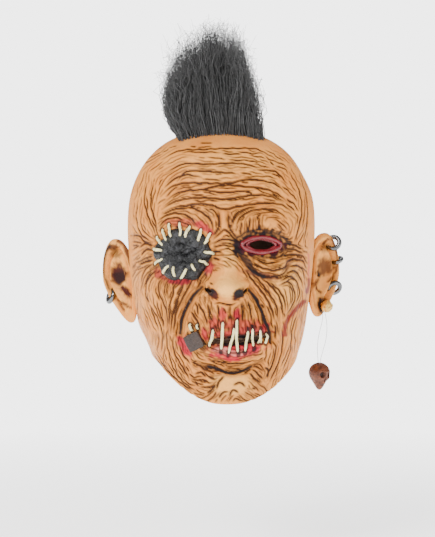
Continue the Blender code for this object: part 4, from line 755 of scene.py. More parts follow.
def head_point(turn, down, held_back=0.0):
    """Point on the outer skin. Turn is 0 at the face and grows towards +X, down is a
    share of SKIN_HEIGHT, and the face can be held back for the inside."""
    turn = np.asarray(turn, float)
    down = np.asarray(down, float)
    left, right, front, back = section(down)
    cosine = np.cos(turn)
    sine = np.sin(turn)
    square = np.where(cosine > 0.0, FRONT_SQUARENESS, BACK_SQUARENESS)
    reach = np.where(sine > 0.0, right, left)
    x = np.sign(sine) * reach * np.abs(sine) ** (2.0 / square)
    depth = np.where(cosine > 0.0, front, back)
    y = -np.sign(cosine) * depth * np.abs(cosine) ** (2.0 / square)
    facing = smooth_step(0.15, 0.6, cosine)
    y = y - facing * (face_relief(x, down * SKIN_HEIGHT) - held_back)
    z = WALL - down * SKIN_HEIGHT
    return np.stack(np.broadcast_arrays(x, y, z), axis=-1)


def head_normal(turn, down):
    """Outward direction of the skin, from small steps along it."""
    step = 0.004
    lower = np.maximum(np.asarray(down, float) - step, 0.0)
    along = head_point(turn + step, down) - head_point(turn - step, down)
    below = head_point(turn, np.asarray(down, float) + step) - head_point(turn, lower)
    normal = np.cross(along, -below)
    return normal / np.linalg.norm(normal, axis=-1, keepdims=True)


def rim_share(turn):
    """Height of the lower rim as a share of SKIN_HEIGHT down."""
    cosine = np.cos(turn)
    front = FRONT_RIM_DROP * np.maximum(cosine, 0.0) ** RIM_POWER
    back = BACK_RIM_DROP * np.minimum(cosine, 0.0) ** 2
    return (SIDE_RIM_DROP + front + back) / SKIN_HEIGHT


def turn_at(across, down):
    """Turn of the place on the front of the skin that lies so far across."""
    left, right, front, back = section(np.asarray(down, float))
    reach = right if across > 0.0 else left
    sine = min(abs(across) * HALF_WIDTH / float(reach), 1.0) ** (FRONT_SQUARENESS / 2.0)
    return math.copysign(math.asin(sine), across)


def place_on_face(across, down):
    """Point and outward direction on the face at a share across and a share down."""
    turn = turn_at(across, down)
    point = Vector([float(value) for value in head_point(turn, down)])
    normal = Vector([float(value) for value in head_normal(turn, down)])
    return point, normal


def fine_columns():
    """Turns of the skin's columns, closest together on the face."""
    turn = np.linspace(0.0, math.pi, 1441)
    step = FACE_STEP + (SIDE_STEP - FACE_STEP) * smooth_step(0.85, 1.45, turn)
    step = step + (BACK_STEP - SIDE_STEP) * smooth_step(1.5, 2.5, turn)
    crowd = np.concatenate(([0.0], np.cumsum(HEAD_RADIUS / step[1:] * np.diff(turn))))
    half = int(round(crowd[-1]))
    side = np.interp(np.arange(1, half) * crowd[-1] / half, crowd, turn)
    return np.concatenate((-side[::-1], [0.0], side, [math.pi]))


def fine_rows(turn):
    """Shares down of the skin's rows at each turn, closest together on the face."""
    down = np.linspace(0.0, 1.0, 4001)
    front = section(down)[2]
    climb = np.hypot(np.diff(front), np.diff(down) * SKIN_HEIGHT)
    step = CROWN_STEP + (FACE_STEP - CROWN_STEP) * smooth_step(
        CROWN_ROWS_END, CROWN_ROWS_END + 0.03, down[1:])
    crowd = np.concatenate(([0.0], np.cumsum(climb / step)))
    level = np.interp(np.arange(1.0, crowd[-1] - 0.5), crowd, down)
    straight = level[level < LEVEL_ROWS_END]
    lower = level[level >= LEVEL_ROWS_END]
    follow = (np.append(lower, 1.0) - LEVEL_ROWS_END) / (1.0 - LEVEL_ROWS_END)
    bottom = rim_share(turn)
    leaning = LEVEL_ROWS_END + follow[:, None] * (bottom - LEVEL_ROWS_END)
    return np.concatenate((np.repeat(straight[:, None], len(turn), axis=1), leaning))


def grid_faces(row_count, column_count):
    """Faces of rings stacked downwards, closed by a top and a bottom point."""
    index = np.arange(row_count * column_count).reshape(row_count, column_count)
    after = np.roll(index, -1, axis=1)
    sides = np.stack((index[:-1], index[1:], after[1:], after[:-1]), axis=-1)
    faces = [tuple(face) for face in sides.reshape(-1, 4).tolist()]
    top = row_count * column_count
    faces += [(top, here, there) for here, there in zip(index[0], after[0])]
    faces += [(top + 1, there, here) for here, there in zip(index[-1], after[-1])]
    return faces


def grid_mesh(name, rows, top, bottom):
    """Closed mesh of stacked rings, its faces turned outwards."""
    rows = np.asarray(rows, float)
    points = np.concatenate((rows.reshape(-1, 3), [top, bottom]))
    mesh = bpy.data.meshes.new(name)
    mesh.from_pydata(points.tolist(), [], grid_faces(rows.shape[0], rows.shape[1]))
    if volume_of(mesh) < 0.0:
        mesh.flip_normals()
    return mesh


def volume_of(mesh):
    """Signed volume of a closed mesh."""
    mesh.calc_loop_triangles()
    points = vertex_array(mesh)
    corners = np.empty(len(mesh.loop_triangles) * 3, np.int32)
    mesh.loop_triangles.foreach_get("vertices", corners)
    a, b, c = points[corners.reshape(-1, 3)].transpose(1, 0, 2)
    return float(np.einsum("ij,ij->i", a, np.cross(b, c)).sum()) / 6.0


def surface_tree(mesh):
    """Search tree of a mesh's faces."""
    return BVHTree.FromPolygons([tuple(v.co) for v in mesh.vertices],
                                [tuple(p.vertices) for p in mesh.polygons])


def normal_array(mesh):
    """Outward direction at each vertex."""
    normals = np.empty(len(mesh.vertices) * 3, np.float32)
    mesh.vertex_normals.foreach_get("vector", normals)
    return normals.reshape(-1, 3)


def vertex_array(mesh):
    """Places of a mesh's vertices as an array."""
    places = np.empty(len(mesh.vertices) * 3, np.float32)
    mesh.vertices.foreach_get("co", places)
    return places.reshape(-1, 3).astype(float)


def set_vertices(mesh, places):
    """Move a mesh's vertices."""
    mesh.vertices.foreach_set("co", np.asarray(places, np.float32).ravel())
    mesh.update()


def store_mask(mesh, name, values):
    """Store one number a vertex under a name that the shaders read."""
    layer = mesh.attributes.new(name, "FLOAT", "POINT")
    layer.data.foreach_set("value", np.asarray(values, np.float32))


def add_object(name, mesh, material=None):
    """Link a mesh to the scene as an object."""
    thing = bpy.data.objects.new(name, mesh)
    bpy.context.scene.collection.objects.link(thing)
    if material is not None:
        mesh.materials.clear()
        mesh.materials.append(material)
    mesh.shade_smooth()
    return thing


def add_piece(name, mesh, material, replaced=()):
    """Add a piece that rides on the one body, and hide the CAD nodes that it stands for."""
    thing = add_object(name, mesh, material)
    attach(thing, "root")
    if replaced:
        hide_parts(*replaced)
    return thing


def bake(thing):
    """Turn an object's modifiers into a plain mesh."""
    bpy.context.view_layer.update()
    graph = bpy.context.evaluated_depsgraph_get()
    mesh = bpy.data.meshes.new_from_object(thing.evaluated_get(graph))
    thing.modifiers.clear()
    old = thing.data
    thing.data = mesh
    bpy.data.meshes.remove(old)
    return thing


def combine(target, tools, operation):
    """Join solids to a solid, or cut them away, and remove them."""
    for tool in tools:
        modifier = target.modifiers.new(tool.name, "BOOLEAN")
        modifier.operation = operation
        modifier.solver = "MANIFOLD"
        modifier.object = tool
    bake(target)
    for tool in tools:
        bpy.data.objects.remove(tool, do_unlink=True)


def tool_object(mesh, face_kind):
    """Solid that joins or cuts the skin, its faces marked with their kind."""
    thing = bpy.data.objects.new(mesh.name, mesh)
    bpy.context.scene.collection.objects.link(thing)
    for kind in range(HOLE_FACES + 1):
        mesh.materials.append(bpy.data.materials["face_kind_%d" % kind])
    mesh.polygons.foreach_set("material_index", [face_kind] * len(mesh.polygons))
    return thing


def tube_rows(points, radii, sides):
    """Rings of points round a line."""
    rows = []
    points = [Vector(point) for point in points]
    side = None
    for index, point in enumerate(points):
        ahead = points[min(index + 1, len(points) - 1)]
        behind = points[max(index - 1, 0)]
        axis = (ahead - behind).normalized()
        if side is None:
            side = axis.orthogonal().normalized()
        side = (side - axis * side.dot(axis)).normalized()
        other = axis.cross(side)
        row = []
        for step in range(sides):
            angle = step / sides * 2.0 * math.pi
            row.append(point + (side * math.cos(angle) + other * math.sin(angle)) * radii[index])
        rows.append(row)
    return rows


def ring_rows(points, radius, sides, bulge=None):
    """Rings of points round a closed line, for a closed tube."""
    count = len(points)
    middle = sum(points, Vector()) / count
    rows = []
    for index, point in enumerate(points):
        axis = (points[(index + 1) % count] - points[index - 1]).normalized()
        out = (point - middle)
        out = (out - axis * out.dot(axis)).normalized()
        other = axis.cross(out)
        size = radius if bulge is None else radius * bulge[index]
        row = []
        for step in range(sides):
            angle = step / sides * 2.0 * math.pi
            row.append(point + (out * math.cos(angle) + other * math.sin(angle)) * size)
        rows.append(row)
    return rows


def torus_mesh(name, rows):
    """Closed tube whose last ring meets its first."""
    rows = np.asarray(rows, float)
    count, sides = rows.shape[:2]
    index = np.arange(count * sides).reshape(count, sides)
    next_ring = np.roll(index, -1, axis=0)
    faces = np.stack((index, next_ring, np.roll(next_ring, -1, axis=1),
                      np.roll(index, -1, axis=1)), axis=-1)
    mesh = bpy.data.meshes.new(name)
    mesh.from_pydata(rows.reshape(-1, 3).tolist(), [], faces.reshape(-1, 4).tolist())
    if volume_of(mesh) < 0.0:
        mesh.flip_normals()
    return mesh


def joined(name, meshes):
    """One mesh with the faces of several, which are removed."""
    places = []
    faces = []
    for mesh in meshes:
        first = len(places)
        places += [tuple(vertex.co) for vertex in mesh.vertices]
        faces += [tuple(index + first for index in face.vertices) for face in mesh.polygons]
        bpy.data.meshes.remove(mesh)
    whole = bpy.data.meshes.new(name)
    whole.from_pydata(places, [], faces)
    return whole


def camera_axes():
    """Right of the picture, and the direction from the mask to the camera."""
    right = Vector((math.cos(CAMERA_AZIMUTH), math.sin(CAMERA_AZIMUTH), 0.0))
    towards = Vector((math.sin(CAMERA_AZIMUTH), -math.cos(CAMERA_AZIMUTH), 0.0))
    return right, towards


def camera_place():
    """Point in the middle of the frame, and where the camera stands."""
    right, towards = camera_axes()
    middle = right * FRAME_MIDDLE_ACROSS + Vector((0.0, 0.0, FRAME_MIDDLE_HEIGHT))
    return middle, middle + towards * CAMERA_DISTANCE


def pixel_ray(x, y):
    """Camera's place and the direction through a pixel of the photograph."""
    right, towards = camera_axes()
    middle, eye = camera_place()
    point = middle + right * (x - PHOTO_WIDTH / 2.0) * PIXEL
    point.z -= (y - PHOTO_HEIGHT / 2.0) * PIXEL
    return eye, (point - eye).normalized()


def pixels_of(places):
    """Pixel of the photograph at which each place lies."""
    right, towards = camera_axes()
    middle, eye = camera_place()
    away = np.asarray(places, float) - np.array(eye)
    depth = away @ -np.array(towards)
    scale = CAMERA_DISTANCE / depth / PIXEL
    x = PHOTO_WIDTH / 2.0 + away @ np.array(right) * scale
    y = PHOTO_HEIGHT / 2.0 - (away[:, 2]) * scale
    return x, y


def hit_surface(tree, x, y):
    """Point and outward direction where a pixel's ray meets a surface."""
    eye, ray = pixel_ray(x, y)
    place, normal, index, distance = tree.ray_cast(eye, ray)
    return place, normal


def even_line(points, step):
    """Points at even steps along a smooth line through a few points."""
    points = np.asarray(points, float)
    lengths = np.linalg.norm(np.diff(points, axis=0), axis=1)
    knots = np.concatenate(([0.0], np.cumsum(lengths)))
    count = max(3, int(knots[-1] / step) + 1)
    where = np.linspace(0.0, knots[-1], count)
    if len(points) < 3:
        return np.stack([np.interp(where, knots, points[:, axis])
                         for axis in range(points.shape[1])], axis=1)
    return np.stack([spline(knots, points[:, axis], where)
                     for axis in range(points.shape[1])], axis=1)


def flow_field():
    """Direction and spacing of the fine creases over the photograph."""
    left, top, right, bottom = CREASED_AREA
    xs = np.arange(left - 10.0, right + 10.0, FLOW_CELL)
    ys = np.arange(top - 10.0, bottom + 10.0, FLOW_CELL)
    grid_x, grid_y = np.meshgrid(xs, ys)
    cosine = np.zeros(grid_x.shape)
    sine = np.zeros(grid_x.shape)
    spacing = np.zeros(grid_x.shape)
    total = np.zeros(grid_x.shape)
    for gap, depth, points in GUIDES:
        line = even_line(points, 3.0)
        along = np.gradient(line, axis=0)
        angle = np.arctan2(along[:, 1], along[:, 0])
        for (x, y), turn in zip(line, angle):
            near = ((grid_x - x) ** 2 + (grid_y - y) ** 2 + 6.0) ** -2
            cosine += near * math.cos(2.0 * turn)
            sine += near * math.sin(2.0 * turn)
            spacing += near * gap
            total += near
    return (xs[0], ys[0]), np.arctan2(sine, cosine) / 2.0, spacing / total


def is_smooth(x, y):
    """Whether a pixel lies in a place without creases, or off the creased area."""
    left, top, right, bottom = CREASED_AREA
    if not (left < x < right and top < y < bottom):
        return True
    for middle_x, middle_y, half_width, half_height in SMOOTH_PLACES:
        if ((x - middle_x) / half_width) ** 2 + ((y - middle_y) / half_height) ** 2 < 1.0:
            return True
    return False


def fine_creases(chance):
    """Short creases that follow the flow and keep their distance from each other."""
    (left, top), angle, spacing = flow_field()
    rows, columns = angle.shape
    finer = 2.0
    taken = np.full((int(rows * FLOW_CELL * finer), int(columns * FLOW_CELL * finer)), 99.0)
    reach = 12
    stamp_y, stamp_x = np.mgrid[-reach:reach + 1, -reach:reach + 1]
    stamp = np.hypot(stamp_x, stamp_y) / finer

    def occupy(line):
        """Mark the cells round a line as taken."""
        for x, y in line:
            column = int((x - left) * finer)
            row = int((y - top) * finer)
            if reach < row < taken.shape[0] - reach - 1 and reach < column < (
                    taken.shape[1] - reach - 1):
                part = taken[row - reach:row + reach + 1, column - reach:column + reach + 1]
                np.minimum(part, stamp, out=part)

    def free(x, y):
        """Distance in pixels to the nearest crease."""
        row = min(max(int((y - top) * finer), 0), taken.shape[0] - 1)
        column = min(max(int((x - left) * finer), 0), taken.shape[1] - 1)
        return taken[row, column]

    def flow(x, y):
        """Direction and spacing at a pixel."""
        row = min(max(int((y - top) / FLOW_CELL), 0), rows - 1)
        column = min(max(int((x - left) / FLOW_CELL), 0), columns - 1)
        return angle[row, column], spacing[row, column]

    for gap, depth, points in GUIDES:
        occupy(even_line(points, TRACE_STEP))
    lines = []
    area = CREASED_AREA
    for attempt in range(SEED_TRIES):
        x = chance.uniform(area[0], area[2])
        y = chance.uniform(area[1], area[3])
        turn, gap = flow(x, y)
        gap *= chance.uniform(0.62, 1.0)
        if is_smooth(x, y) or free(x, y) < gap * 0.62:
            continue
        length = chance.uniform(*FINE_LENGTH)
        line = [(x, y)]
        for way in (1.0, -1.0):
            here_x, here_y = x, y
            heading = turn if way > 0.0 else turn + math.pi
            wander = chance.uniform(-0.25, 0.25)
            for step in range(int(length / 2.0 / TRACE_STEP)):
                follow = flow(here_x, here_y)[0]
                if math.cos(follow - heading) < 0.0:
                    follow += math.pi
                wander += chance.uniform(-0.10, 0.10)
                wander *= 0.93
                heading = follow + wander
                here_x += math.cos(heading) * TRACE_STEP
                here_y += math.sin(heading) * TRACE_STEP
                if is_smooth(here_x, here_y) or free(here_x, here_y) < gap * 0.42:
                    break
                if way > 0.0:
                    line.append((here_x, here_y))
                else:
                    line.insert(0, (here_x, here_y))
        if len(line) > 4:
            occupy(line)
            lines.append(line)
    return lines


def groove_samples(tree):
    """Points on the skin along every crease, with depth and width in metres."""
    chance = random.Random(41)
    strokes = []
    for gap, depth, points in GUIDES:
        width = GUIDE_WIDTH + GUIDE_WIDENING * depth
        strokes.append((even_line(points, SAMPLE_STEP), depth * GUIDE_DEPTH, width, GUIDE_DARK))
    for line in fine_creases(chance):
        depth = chance.uniform(*FINE_DEPTH) * min(1.0, 0.55 + len(line) / 40.0)
        strokes.append((even_line(line, SAMPLE_STEP), depth, chance.uniform(*FINE_WIDTH),
                        chance.uniform(*FINE_DARK)))
    places = []
    shapes = []
    for line, depth, width, dark in strokes:
        share = np.linspace(0.0, 1.0, len(line))
        taper = np.sqrt(np.sin(math.pi * np.clip(share, 0.02, 0.98)))
        phase = chance.uniform(0.0, 6.0)
        for (x, y), part in zip(line, taper):
            wobble = 0.35 * math.sin(x * 0.55 + phase) * math.cos(y * 0.47 + phase)
            place, normal = hit_surface(tree, x + wobble, y - wobble)
            if place is not None and normal.dot(camera_axes()[1]) > 0.12:
                vary = 0.88 + 0.14 * math.sin(x * 0.25 + y * 0.22 + phase)
                places.append(place)
                shapes.append((depth * part * vary * 0.001, width * 0.001,
                               dark * min(1.0, part * 1.2) * vary))
    return places, shapes


def skin_grooves(points, chosen, tree):
    """Depth of the creases and strength of their wash at each chosen vertex."""
    places, shapes = groove_samples(tree)
    near = KDTree(len(places))
    for index, place in enumerate(places):
        near.insert(place, index)
    near.balance()
    depth = np.zeros(len(points))
    wash_and_shade = np.zeros(len(points))
    for vertex in np.flatnonzero(chosen):
        deepest = 0.0
        darkest = 0.0
        for place, index, distance in near.find_n(points[vertex], 4):
            if distance > GROOVE_REACH:
                break
            groove, width, dark = shapes[index]
            share = distance / width
            narrow = math.exp(-share * share)
            broad = math.exp(-(share / 2.3) ** 2)
            deepest = max(deepest, groove * (0.65 * narrow + 0.35 * broad))
            darkest = max(darkest, dark * (1.5 * narrow + 0.10 * broad))
        depth[vertex] = deepest
        wash_and_shade[vertex] = min(1.0, darkest)
    return depth, wash_and_shade


def wide_folds(points, chosen):
    """Depth of the wide folds and their dark wash with painted shade at each chosen vertex."""
    x, y = pixels_of(points)
    depth = np.zeros(len(points))
    wash_and_shade = np.zeros(len(points))
    for deep, half_width, dark, line in WIDE_FOLDS:
        line = even_line(line, 3.0)
        share = line_distance(x, y, line) / half_width
        shape = np.exp(-share ** 2)
        if deep > 0.0:
            shape -= FOLD_FLANKS * np.exp(-((share - 1.9) / 0.8) ** 2)
        depth += deep * 0.001 * shape * chosen
        wash_and_shade = np.maximum(wash_and_shade, dark * np.exp(-(share * 1.35) ** 2) * chosen)
    return depth, wash_and_shade


def painted_masks(points, chosen, on_ear):
    """Strength of each paint at each vertex, from the spots and lines."""
    left, right = EAR_PAINT
    masks = {name: np.zeros(len(points)) for name in MASKS}
    masks["redline"] = np.zeros(len(points))
    x, y = pixels_of(points)
    ragged = np.array([noise.noise(Vector(point) * 260.0) for point in points])
    for name, middle_x, middle_y, half_width, half_height, turn, strength in PAINT_SPOTS:
        angle = math.radians(turn)
        along = (x - middle_x) * math.cos(angle) + (y - middle_y) * math.sin(angle)
        across = (y - middle_y) * math.cos(angle) - (x - middle_x) * math.sin(angle)
        reach = np.hypot(along / half_width, across / half_height) + ragged * 0.45
        layer = strength * (1.0 - smooth_step(0.62, 1.28, reach)) * chosen
        layer = layer * (on_ear if middle_x < left or middle_x > right else ~on_ear)
        masks[name] = np.maximum(masks[name], layer)
    for name, width, line in PAINT_LINES:
        gap = line_distance(x, y, line) / width + ragged * 0.35
        layer = (1.0 - smooth_step(0.4, 1.3, gap)) * chosen
        middle_x = line[len(line) // 2][0]
        layer = layer * (on_ear if middle_x < left or middle_x > right else ~on_ear)
        masks[name] = np.maximum(masks[name], layer * 0.9)
    masks["red"] = np.maximum(masks["red"], masks.pop("redline") * 0.6)
    # Painted shade round each stitch.
    for x_start, y_start, x_end, y_end, bow, girth in PATCH_STITCHES + MOUTH_STITCHES:
        gap = line_distance(x, y, ((x_start, y_start), (x_end, y_end))) / STITCH_HALO
        halo = (1.0 - smooth_step(0.75, 1.15, gap + ragged * 0.15)) * chosen
        masks["black"] = np.maximum(masks["black"], halo * 0.85)
    return masks


def almond(point, scale, count):
    """Outline of the eye, as x and z round a point."""
    outline = []
    for step in range(count):
        angle = step / count * 2.0 * math.pi
        along = math.cos(angle)
        height = EYE_HALF_HEIGHT * math.sin(angle) * (1.0 - 0.25 * along * along)
        outline.append((point.x + EYE_HALF_LENGTH * along * scale, point.z + height * scale))
    return outline


def prism(name, outline, near, far):
    """Straight prism along Y from an outline of x and z."""
    rows = [[(x, y, z) for x, z in outline] for y in (near, far)]
    middle_x = sum(point[0] for point in outline) / len(outline)
    middle_z = sum(point[1] for point in outline) / len(outline)
    return grid_mesh(name, rows, (middle_x, near, middle_z), (middle_x, far, middle_z))


def hole_cutters():
    """Solids that cut the eye, the nostrils and the mouth out of the skin."""
    cutters = []
    point, normal = place_on_face(*EYE_PLACE)
    eye = prism("cut_eye", almond(point, 1.0, 40), point.y - 0.03, point.y + 0.03)
    cutters.append(tool_object(eye, HOLE_FACES))
    for place in NOSTRIL_PLACES:
        point, normal = place_on_face(*place)
        axis = Vector((0.0, 1.0, 0.30)).normalized()
        ends = [point - axis * 0.03, point + axis * 0.03]
        rows = tube_rows(ends, [NOSTRIL_RADIUS] * 2, 20)
        cutters.append(tool_object(grid_mesh("cut_nostril", rows, *ends), HOLE_FACES))
    upper = []
    lower = []
    for across, down in even_line(MOUTH_SLIT, 0.03):
        point, normal = place_on_face(across, down)
        half = MOUTH_SLIT_HEIGHT / 2.0 * (0.55 + 0.45 * math.sin(across * 31.0))
        upper.append((point.x, point.z + half + 0.0004))
        lower.append((point.x, point.z - half - 0.0004))
    near = point.y - 0.03
    mouth = prism("cut_mouth", upper + lower[::-1], near, near + 0.055)
    cutters.append(tool_object(mouth, HOLE_FACES))
    return cutters


def ear_frame(ear):
    """Matrix of an ear: outwards along its sheet, up its long axis, out of its face."""
    side, down, lean, spread, lobe_in = EARS[ear]
    turn = side * math.radians(90.0)
    root = Vector([float(value) for value in head_point(turn, down)])
    root.x -= side * EAR_SET_IN
    outward = Vector((side * math.sin(spread), math.cos(spread), 0.0))
    up = Vector((side * math.sin(lean), 0.0, math.cos(lean)))
    up = (up - outward * up.dot(outward)).normalized()
    face = (outward.cross(up) * -side).normalized()
    if face.y > 0.0:
        face = -face
    return Matrix((outward, up, face)).transposed(), root


def ear_outline(ear, angle):
    """Edge of the ear by the angle round it, in its own plane."""
    lower = max(0.0, -math.sin(angle))
    lobe = lower ** LOBE_POWER
    cosine = math.cos(angle)
    rounded = math.copysign(abs(cosine) ** (1.0 - LOBE_ROUNDING * lower), cosine)
    outward = EAR_REACH - EARS[ear][4] * lobe + (1.0 - LOBE_NARROWING * lobe) * rounded
    return EAR_HALF_WIDTH * outward, EAR_HALF_HEIGHT * math.sin(angle)


def ear_relief(ring, angle):
    """Height of the ear's front face: rolled rim, crevice, ridge, bowl and lobe."""
    lobe = max(0.0, -math.sin(angle)) ** 4
    rim = 1.35 * HELIX_ROLL * math.exp(-((ring - 0.90) / 0.10) ** 2)
    crevice = -0.0046 * math.exp(-((ring - 0.74) / 0.06) ** 2)
    ridge = 1.05 * HELIX_ROLL * math.exp(-((ring - 0.57) / 0.09) ** 2)
    bowl = -CONCHA_DEPTH * math.exp(-(ring / 0.42) ** 2)
    flap = 0.0045 * math.exp(-((ring - 0.5) / 0.2) ** 2) * max(0.0, -math.cos(angle)) ** 6
    bulge = 0.0022 * lobe * math.exp(-((ring - 0.72) / 0.2) ** 2)
    return (rim + crevice + ridge) * (1.0 - lobe) + bowl + flap + bulge


def ear_solid(ear, material_kind):
    """Closed ear, sunk into the side of the head."""
    frame, root = ear_frame(ear)
    middle = EAR_HALF_WIDTH * EAR_MIDDLE
    angles = [step / 60 * 2.0 * math.pi for step in range(60)]
    front = [0.05, 0.12, 0.2, 0.28, 0.35, 0.41, 0.47, 0.52, 0.57, 0.62, 0.67, 0.71, 0.75,
             0.79, 0.83, 0.87, 0.90, 0.93, 0.96, 0.985, 1.0]
    back = [0.99, 0.96, 0.88, 0.78, 0.66, 0.54, 0.42, 0.30, 0.18]

    def point(ring, angle, behind):
        """Point on the front or the back of the ear."""
        outward, up = ear_outline(ear, angle)
        outward = middle + (outward - middle) * ring
        height = ear_relief(ring, angle)
        if behind:
            height = -EAR_THICKNESS * min(1.0, (1.0 - ring) * 6.0) ** 0.6
            height -= CONCHA_BACK * math.exp(-(ring / 0.50) ** 2)
        return root + frame @ Vector((outward, up * ring, height))

    rows = [[point(ring, angle, False) for angle in angles] for ring in front]
    rows += [[point(ring, angle, True) for angle in angles] for ring in back]
    mesh = grid_mesh("ear_" + ear, rows, point(0.0, 0.0, False), point(0.0, 0.0, True))
    return tool_object(mesh, material_kind)


def head_solid(name, offset, turn, down):
    """Solid head, its skin moved in by a negative offset."""
    held_back = FACE_WALL_EXTRA if offset < 0.0 else 0.0
    rows = head_point(turn, down, held_back) + offset * head_normal(turn, down)
    top = (0.0, 0.0, WALL + offset)
    bottom = (0.0, 0.0, float(rows[-1][:, 2].mean()))
    return grid_mesh(name, rows, top, bottom)


def cavity_solid():
    """Hollow of the mask."""
    crown, level, lower = CAVITY_ROWS
    turn = np.arange(CAVITY_COLUMNS) / CAVITY_COLUMNS * 2.0 * math.pi
    turn = turn - 0.5 * np.sin(turn)
    straight = np.concatenate(((np.arange(1, crown + 1) / crown) ** 1.6 * 0.3,
                               0.3 + np.arange(1, level + 1) / level * 0.32))[:, None]
    bottom = rim_share(turn) + CAVITY_PAST_RIM / SKIN_HEIGHT
    leaning = 0.62 + np.arange(1, lower + 1)[:, None] / lower * (bottom - 0.62)
    down = np.concatenate((np.repeat(straight, len(turn), axis=1), leaning))
    return head_solid("cavity", -WALL, np.broadcast_to(turn, down.shape), down)


def node(tree, kind, inputs=None, **settings):
    """Add a node, set its settings, and set or link its inputs."""
    made = tree.nodes.new(kind)
    for key, value in settings.items():
        setattr(made, key, value)
    for key, value in (inputs or {}).items():
        if isinstance(value, bpy.types.NodeSocket):
            tree.links.new(value, made.inputs[key])
        else:
            made.inputs[key].default_value = value
    return made


def new_material(name, roughness=0.5, metallic=0.0):
    """Material with its shader node, its tree, and a texture coordinate node."""
    material = bpy.data.materials.new(name)
    material.use_nodes = True
    tree = material.node_tree
    shader = tree.nodes["Principled BSDF"]
    shader.inputs["Roughness"].default_value = roughness
    shader.inputs["Metallic"].default_value = metallic
    coordinates = node(tree, "ShaderNodeTexCoord")
    return material, tree, shader, coordinates.outputs["Object"]


def mix_colour(tree, factor, first, second):
    """Mix two colours, each a socket or a value."""
    mixer = node(tree, "ShaderNodeMix", data_type="RGBA")
    for key, value in ((0, factor), (6, first), (7, second)):
        if isinstance(value, bpy.types.NodeSocket):
            tree.links.new(value, mixer.inputs[key])
        else:
            mixer.inputs[key].default_value = value
    return mixer.outputs[2]


def noise_value(tree, coordinates, scale, detail=3.0, low=0.3, high=0.7):
    """Noise stretched to run from 0 to 1."""
    texture = node(tree, "ShaderNodeTexNoise",
                   {"Vector": coordinates, "Scale": scale, "Detail": detail})
    spread = node(tree, "ShaderNodeMapRange",
                  {"Value": texture.outputs["Fac"], "From Min": low, "From Max": high})
    return spread.outputs["Result"]


def attribute_value(tree, name):
    """Value of a mask stored on the vertices."""
    return node(tree, "ShaderNodeAttribute", attribute_name=name).outputs["Fac"]


def scaled(tree, value, by):
    """Value times a number or another value."""
    return node(tree, "ShaderNodeMath", {0: value, 1: by}, operation="MULTIPLY").outputs[0]


def bump(tree, shader, height, strength, distance):
    """Fine bumps on a material."""
    made = node(tree, "ShaderNodeBump",
                {"Height": height, "Strength": strength, "Distance": distance})
    tree.links.new(made.outputs["Normal"], shader.inputs["Normal"])
    return made


def latex_material(looks):
    """Mottled tan latex, paler with painted highlight where raised, wash and painted shade in
    creases.
    """
    material, tree, shader, place = new_material("latex_skin", 0.5)
    mottle = noise_value(tree, place, 55.0)
    tan = tuple(looks.latex)
    warm = (tan[0] * 0.90, tan[1] * 0.78, tan[2] * 0.66, 1.0)
    colour = mix_colour(tree, mottle, (*tan, 1.0), warm)
    # Paler paint and painted highlight on the raised places.
    colour = mix_colour(tree, attribute_value(tree, "pale"), colour, (*looks.pale_paint_and_highlight, 1.0))
    grain = noise_value(tree, place, 420.0, 2.0)
    colour = mix_colour(tree, scaled(tree, grain, 0.16), colour, (0.30, 0.13, 0.05, 1.0))
    colour = mix_colour(tree, attribute_value(tree, "red"), colour, (*looks.sore, 1.0))
    # Painted highlight on the lower lip.
    colour = mix_colour(tree, attribute_value(tree, "pink"), colour, (0.78, 0.26, 0.20, 1.0))
    colour = mix_colour(tree, attribute_value(tree, "purple"), colour,
                        (0.085, 0.022, 0.026, 1.0))
    # Painted shade in the nostrils, under the upper lip and in the ears.
    colour = mix_colour(tree, attribute_value(tree, "brown"), colour,
                        (0.050, 0.012, 0.009, 1.0))
    # Dark wash in the creases, and painted shade in the folds.
    wash_and_shade = scaled(tree, attribute_value(tree, "wash_and_shade"), looks.crease_paint)
    colour = mix_colour(tree, wash_and_shade, colour, (*looks.wash_and_shade, 1.0))
    colour = mix_colour(tree, attribute_value(tree, "blood"), colour,
                        (0.16, 0.010, 0.008, 1.0))
    # Painted shade round the eye, patch, stitches and tag, in the nostrils, folds, mouth and ears,
    # and the mole.
    colour = mix_colour(tree, attribute_value(tree, "black"), colour,
                        (0.010, 0.007, 0.008, 1.0))
    colour = mix_colour(tree, attribute_value(tree, "maroon"), colour,
                        (0.060, 0.005, 0.009, 1.0))
    tree.links.new(colour, shader.inputs["Base Color"])
    shader.inputs["Specular IOR Level"].default_value = 0.25
    shader.inputs["IOR"].default_value = 1.22
    rough = node(tree, "ShaderNodeMapRange",
                 {"Value": noise_value(tree, place, 160.0), "To Min": 0.36, "To Max": 0.56})
    tree.links.new(rough.outputs["Result"], shader.inputs["Roughness"])
    bump(tree, shader, noise_value(tree, place, 600.0, 4.0), 0.22, 0.0006)
    return material


def inside_painted_shade_material():
    """Latex of the hollow, darkened as painted shade."""
    material, tree, shader, place = new_material("latex_inside_painted_shade", 0.7)
    colour = mix_colour(tree, noise_value(tree, place, 60.0), (0.070, 0.030, 0.012, 1.0),
                        (0.045, 0.018, 0.008, 1.0))
    tree.links.new(colour, shader.inputs["Base Color"])
    return material


def plain_material(name, colour, roughness, metallic=0.0, lumps=0.0, scale=300.0):
    """One colour with slight mottling and bumps."""
    material, tree, shader, place = new_material(name, roughness, metallic)
    darker = tuple(part * 0.62 for part in colour)
    mixed = mix_colour(tree, noise_value(tree, place, scale * 0.4), (*colour, 1.0),
                       (*darker, 1.0))
    tree.links.new(mixed, shader.inputs["Base Color"])
    if lumps:
        bump(tree, shader, noise_value(tree, place, scale), 0.5, lumps)
    return material


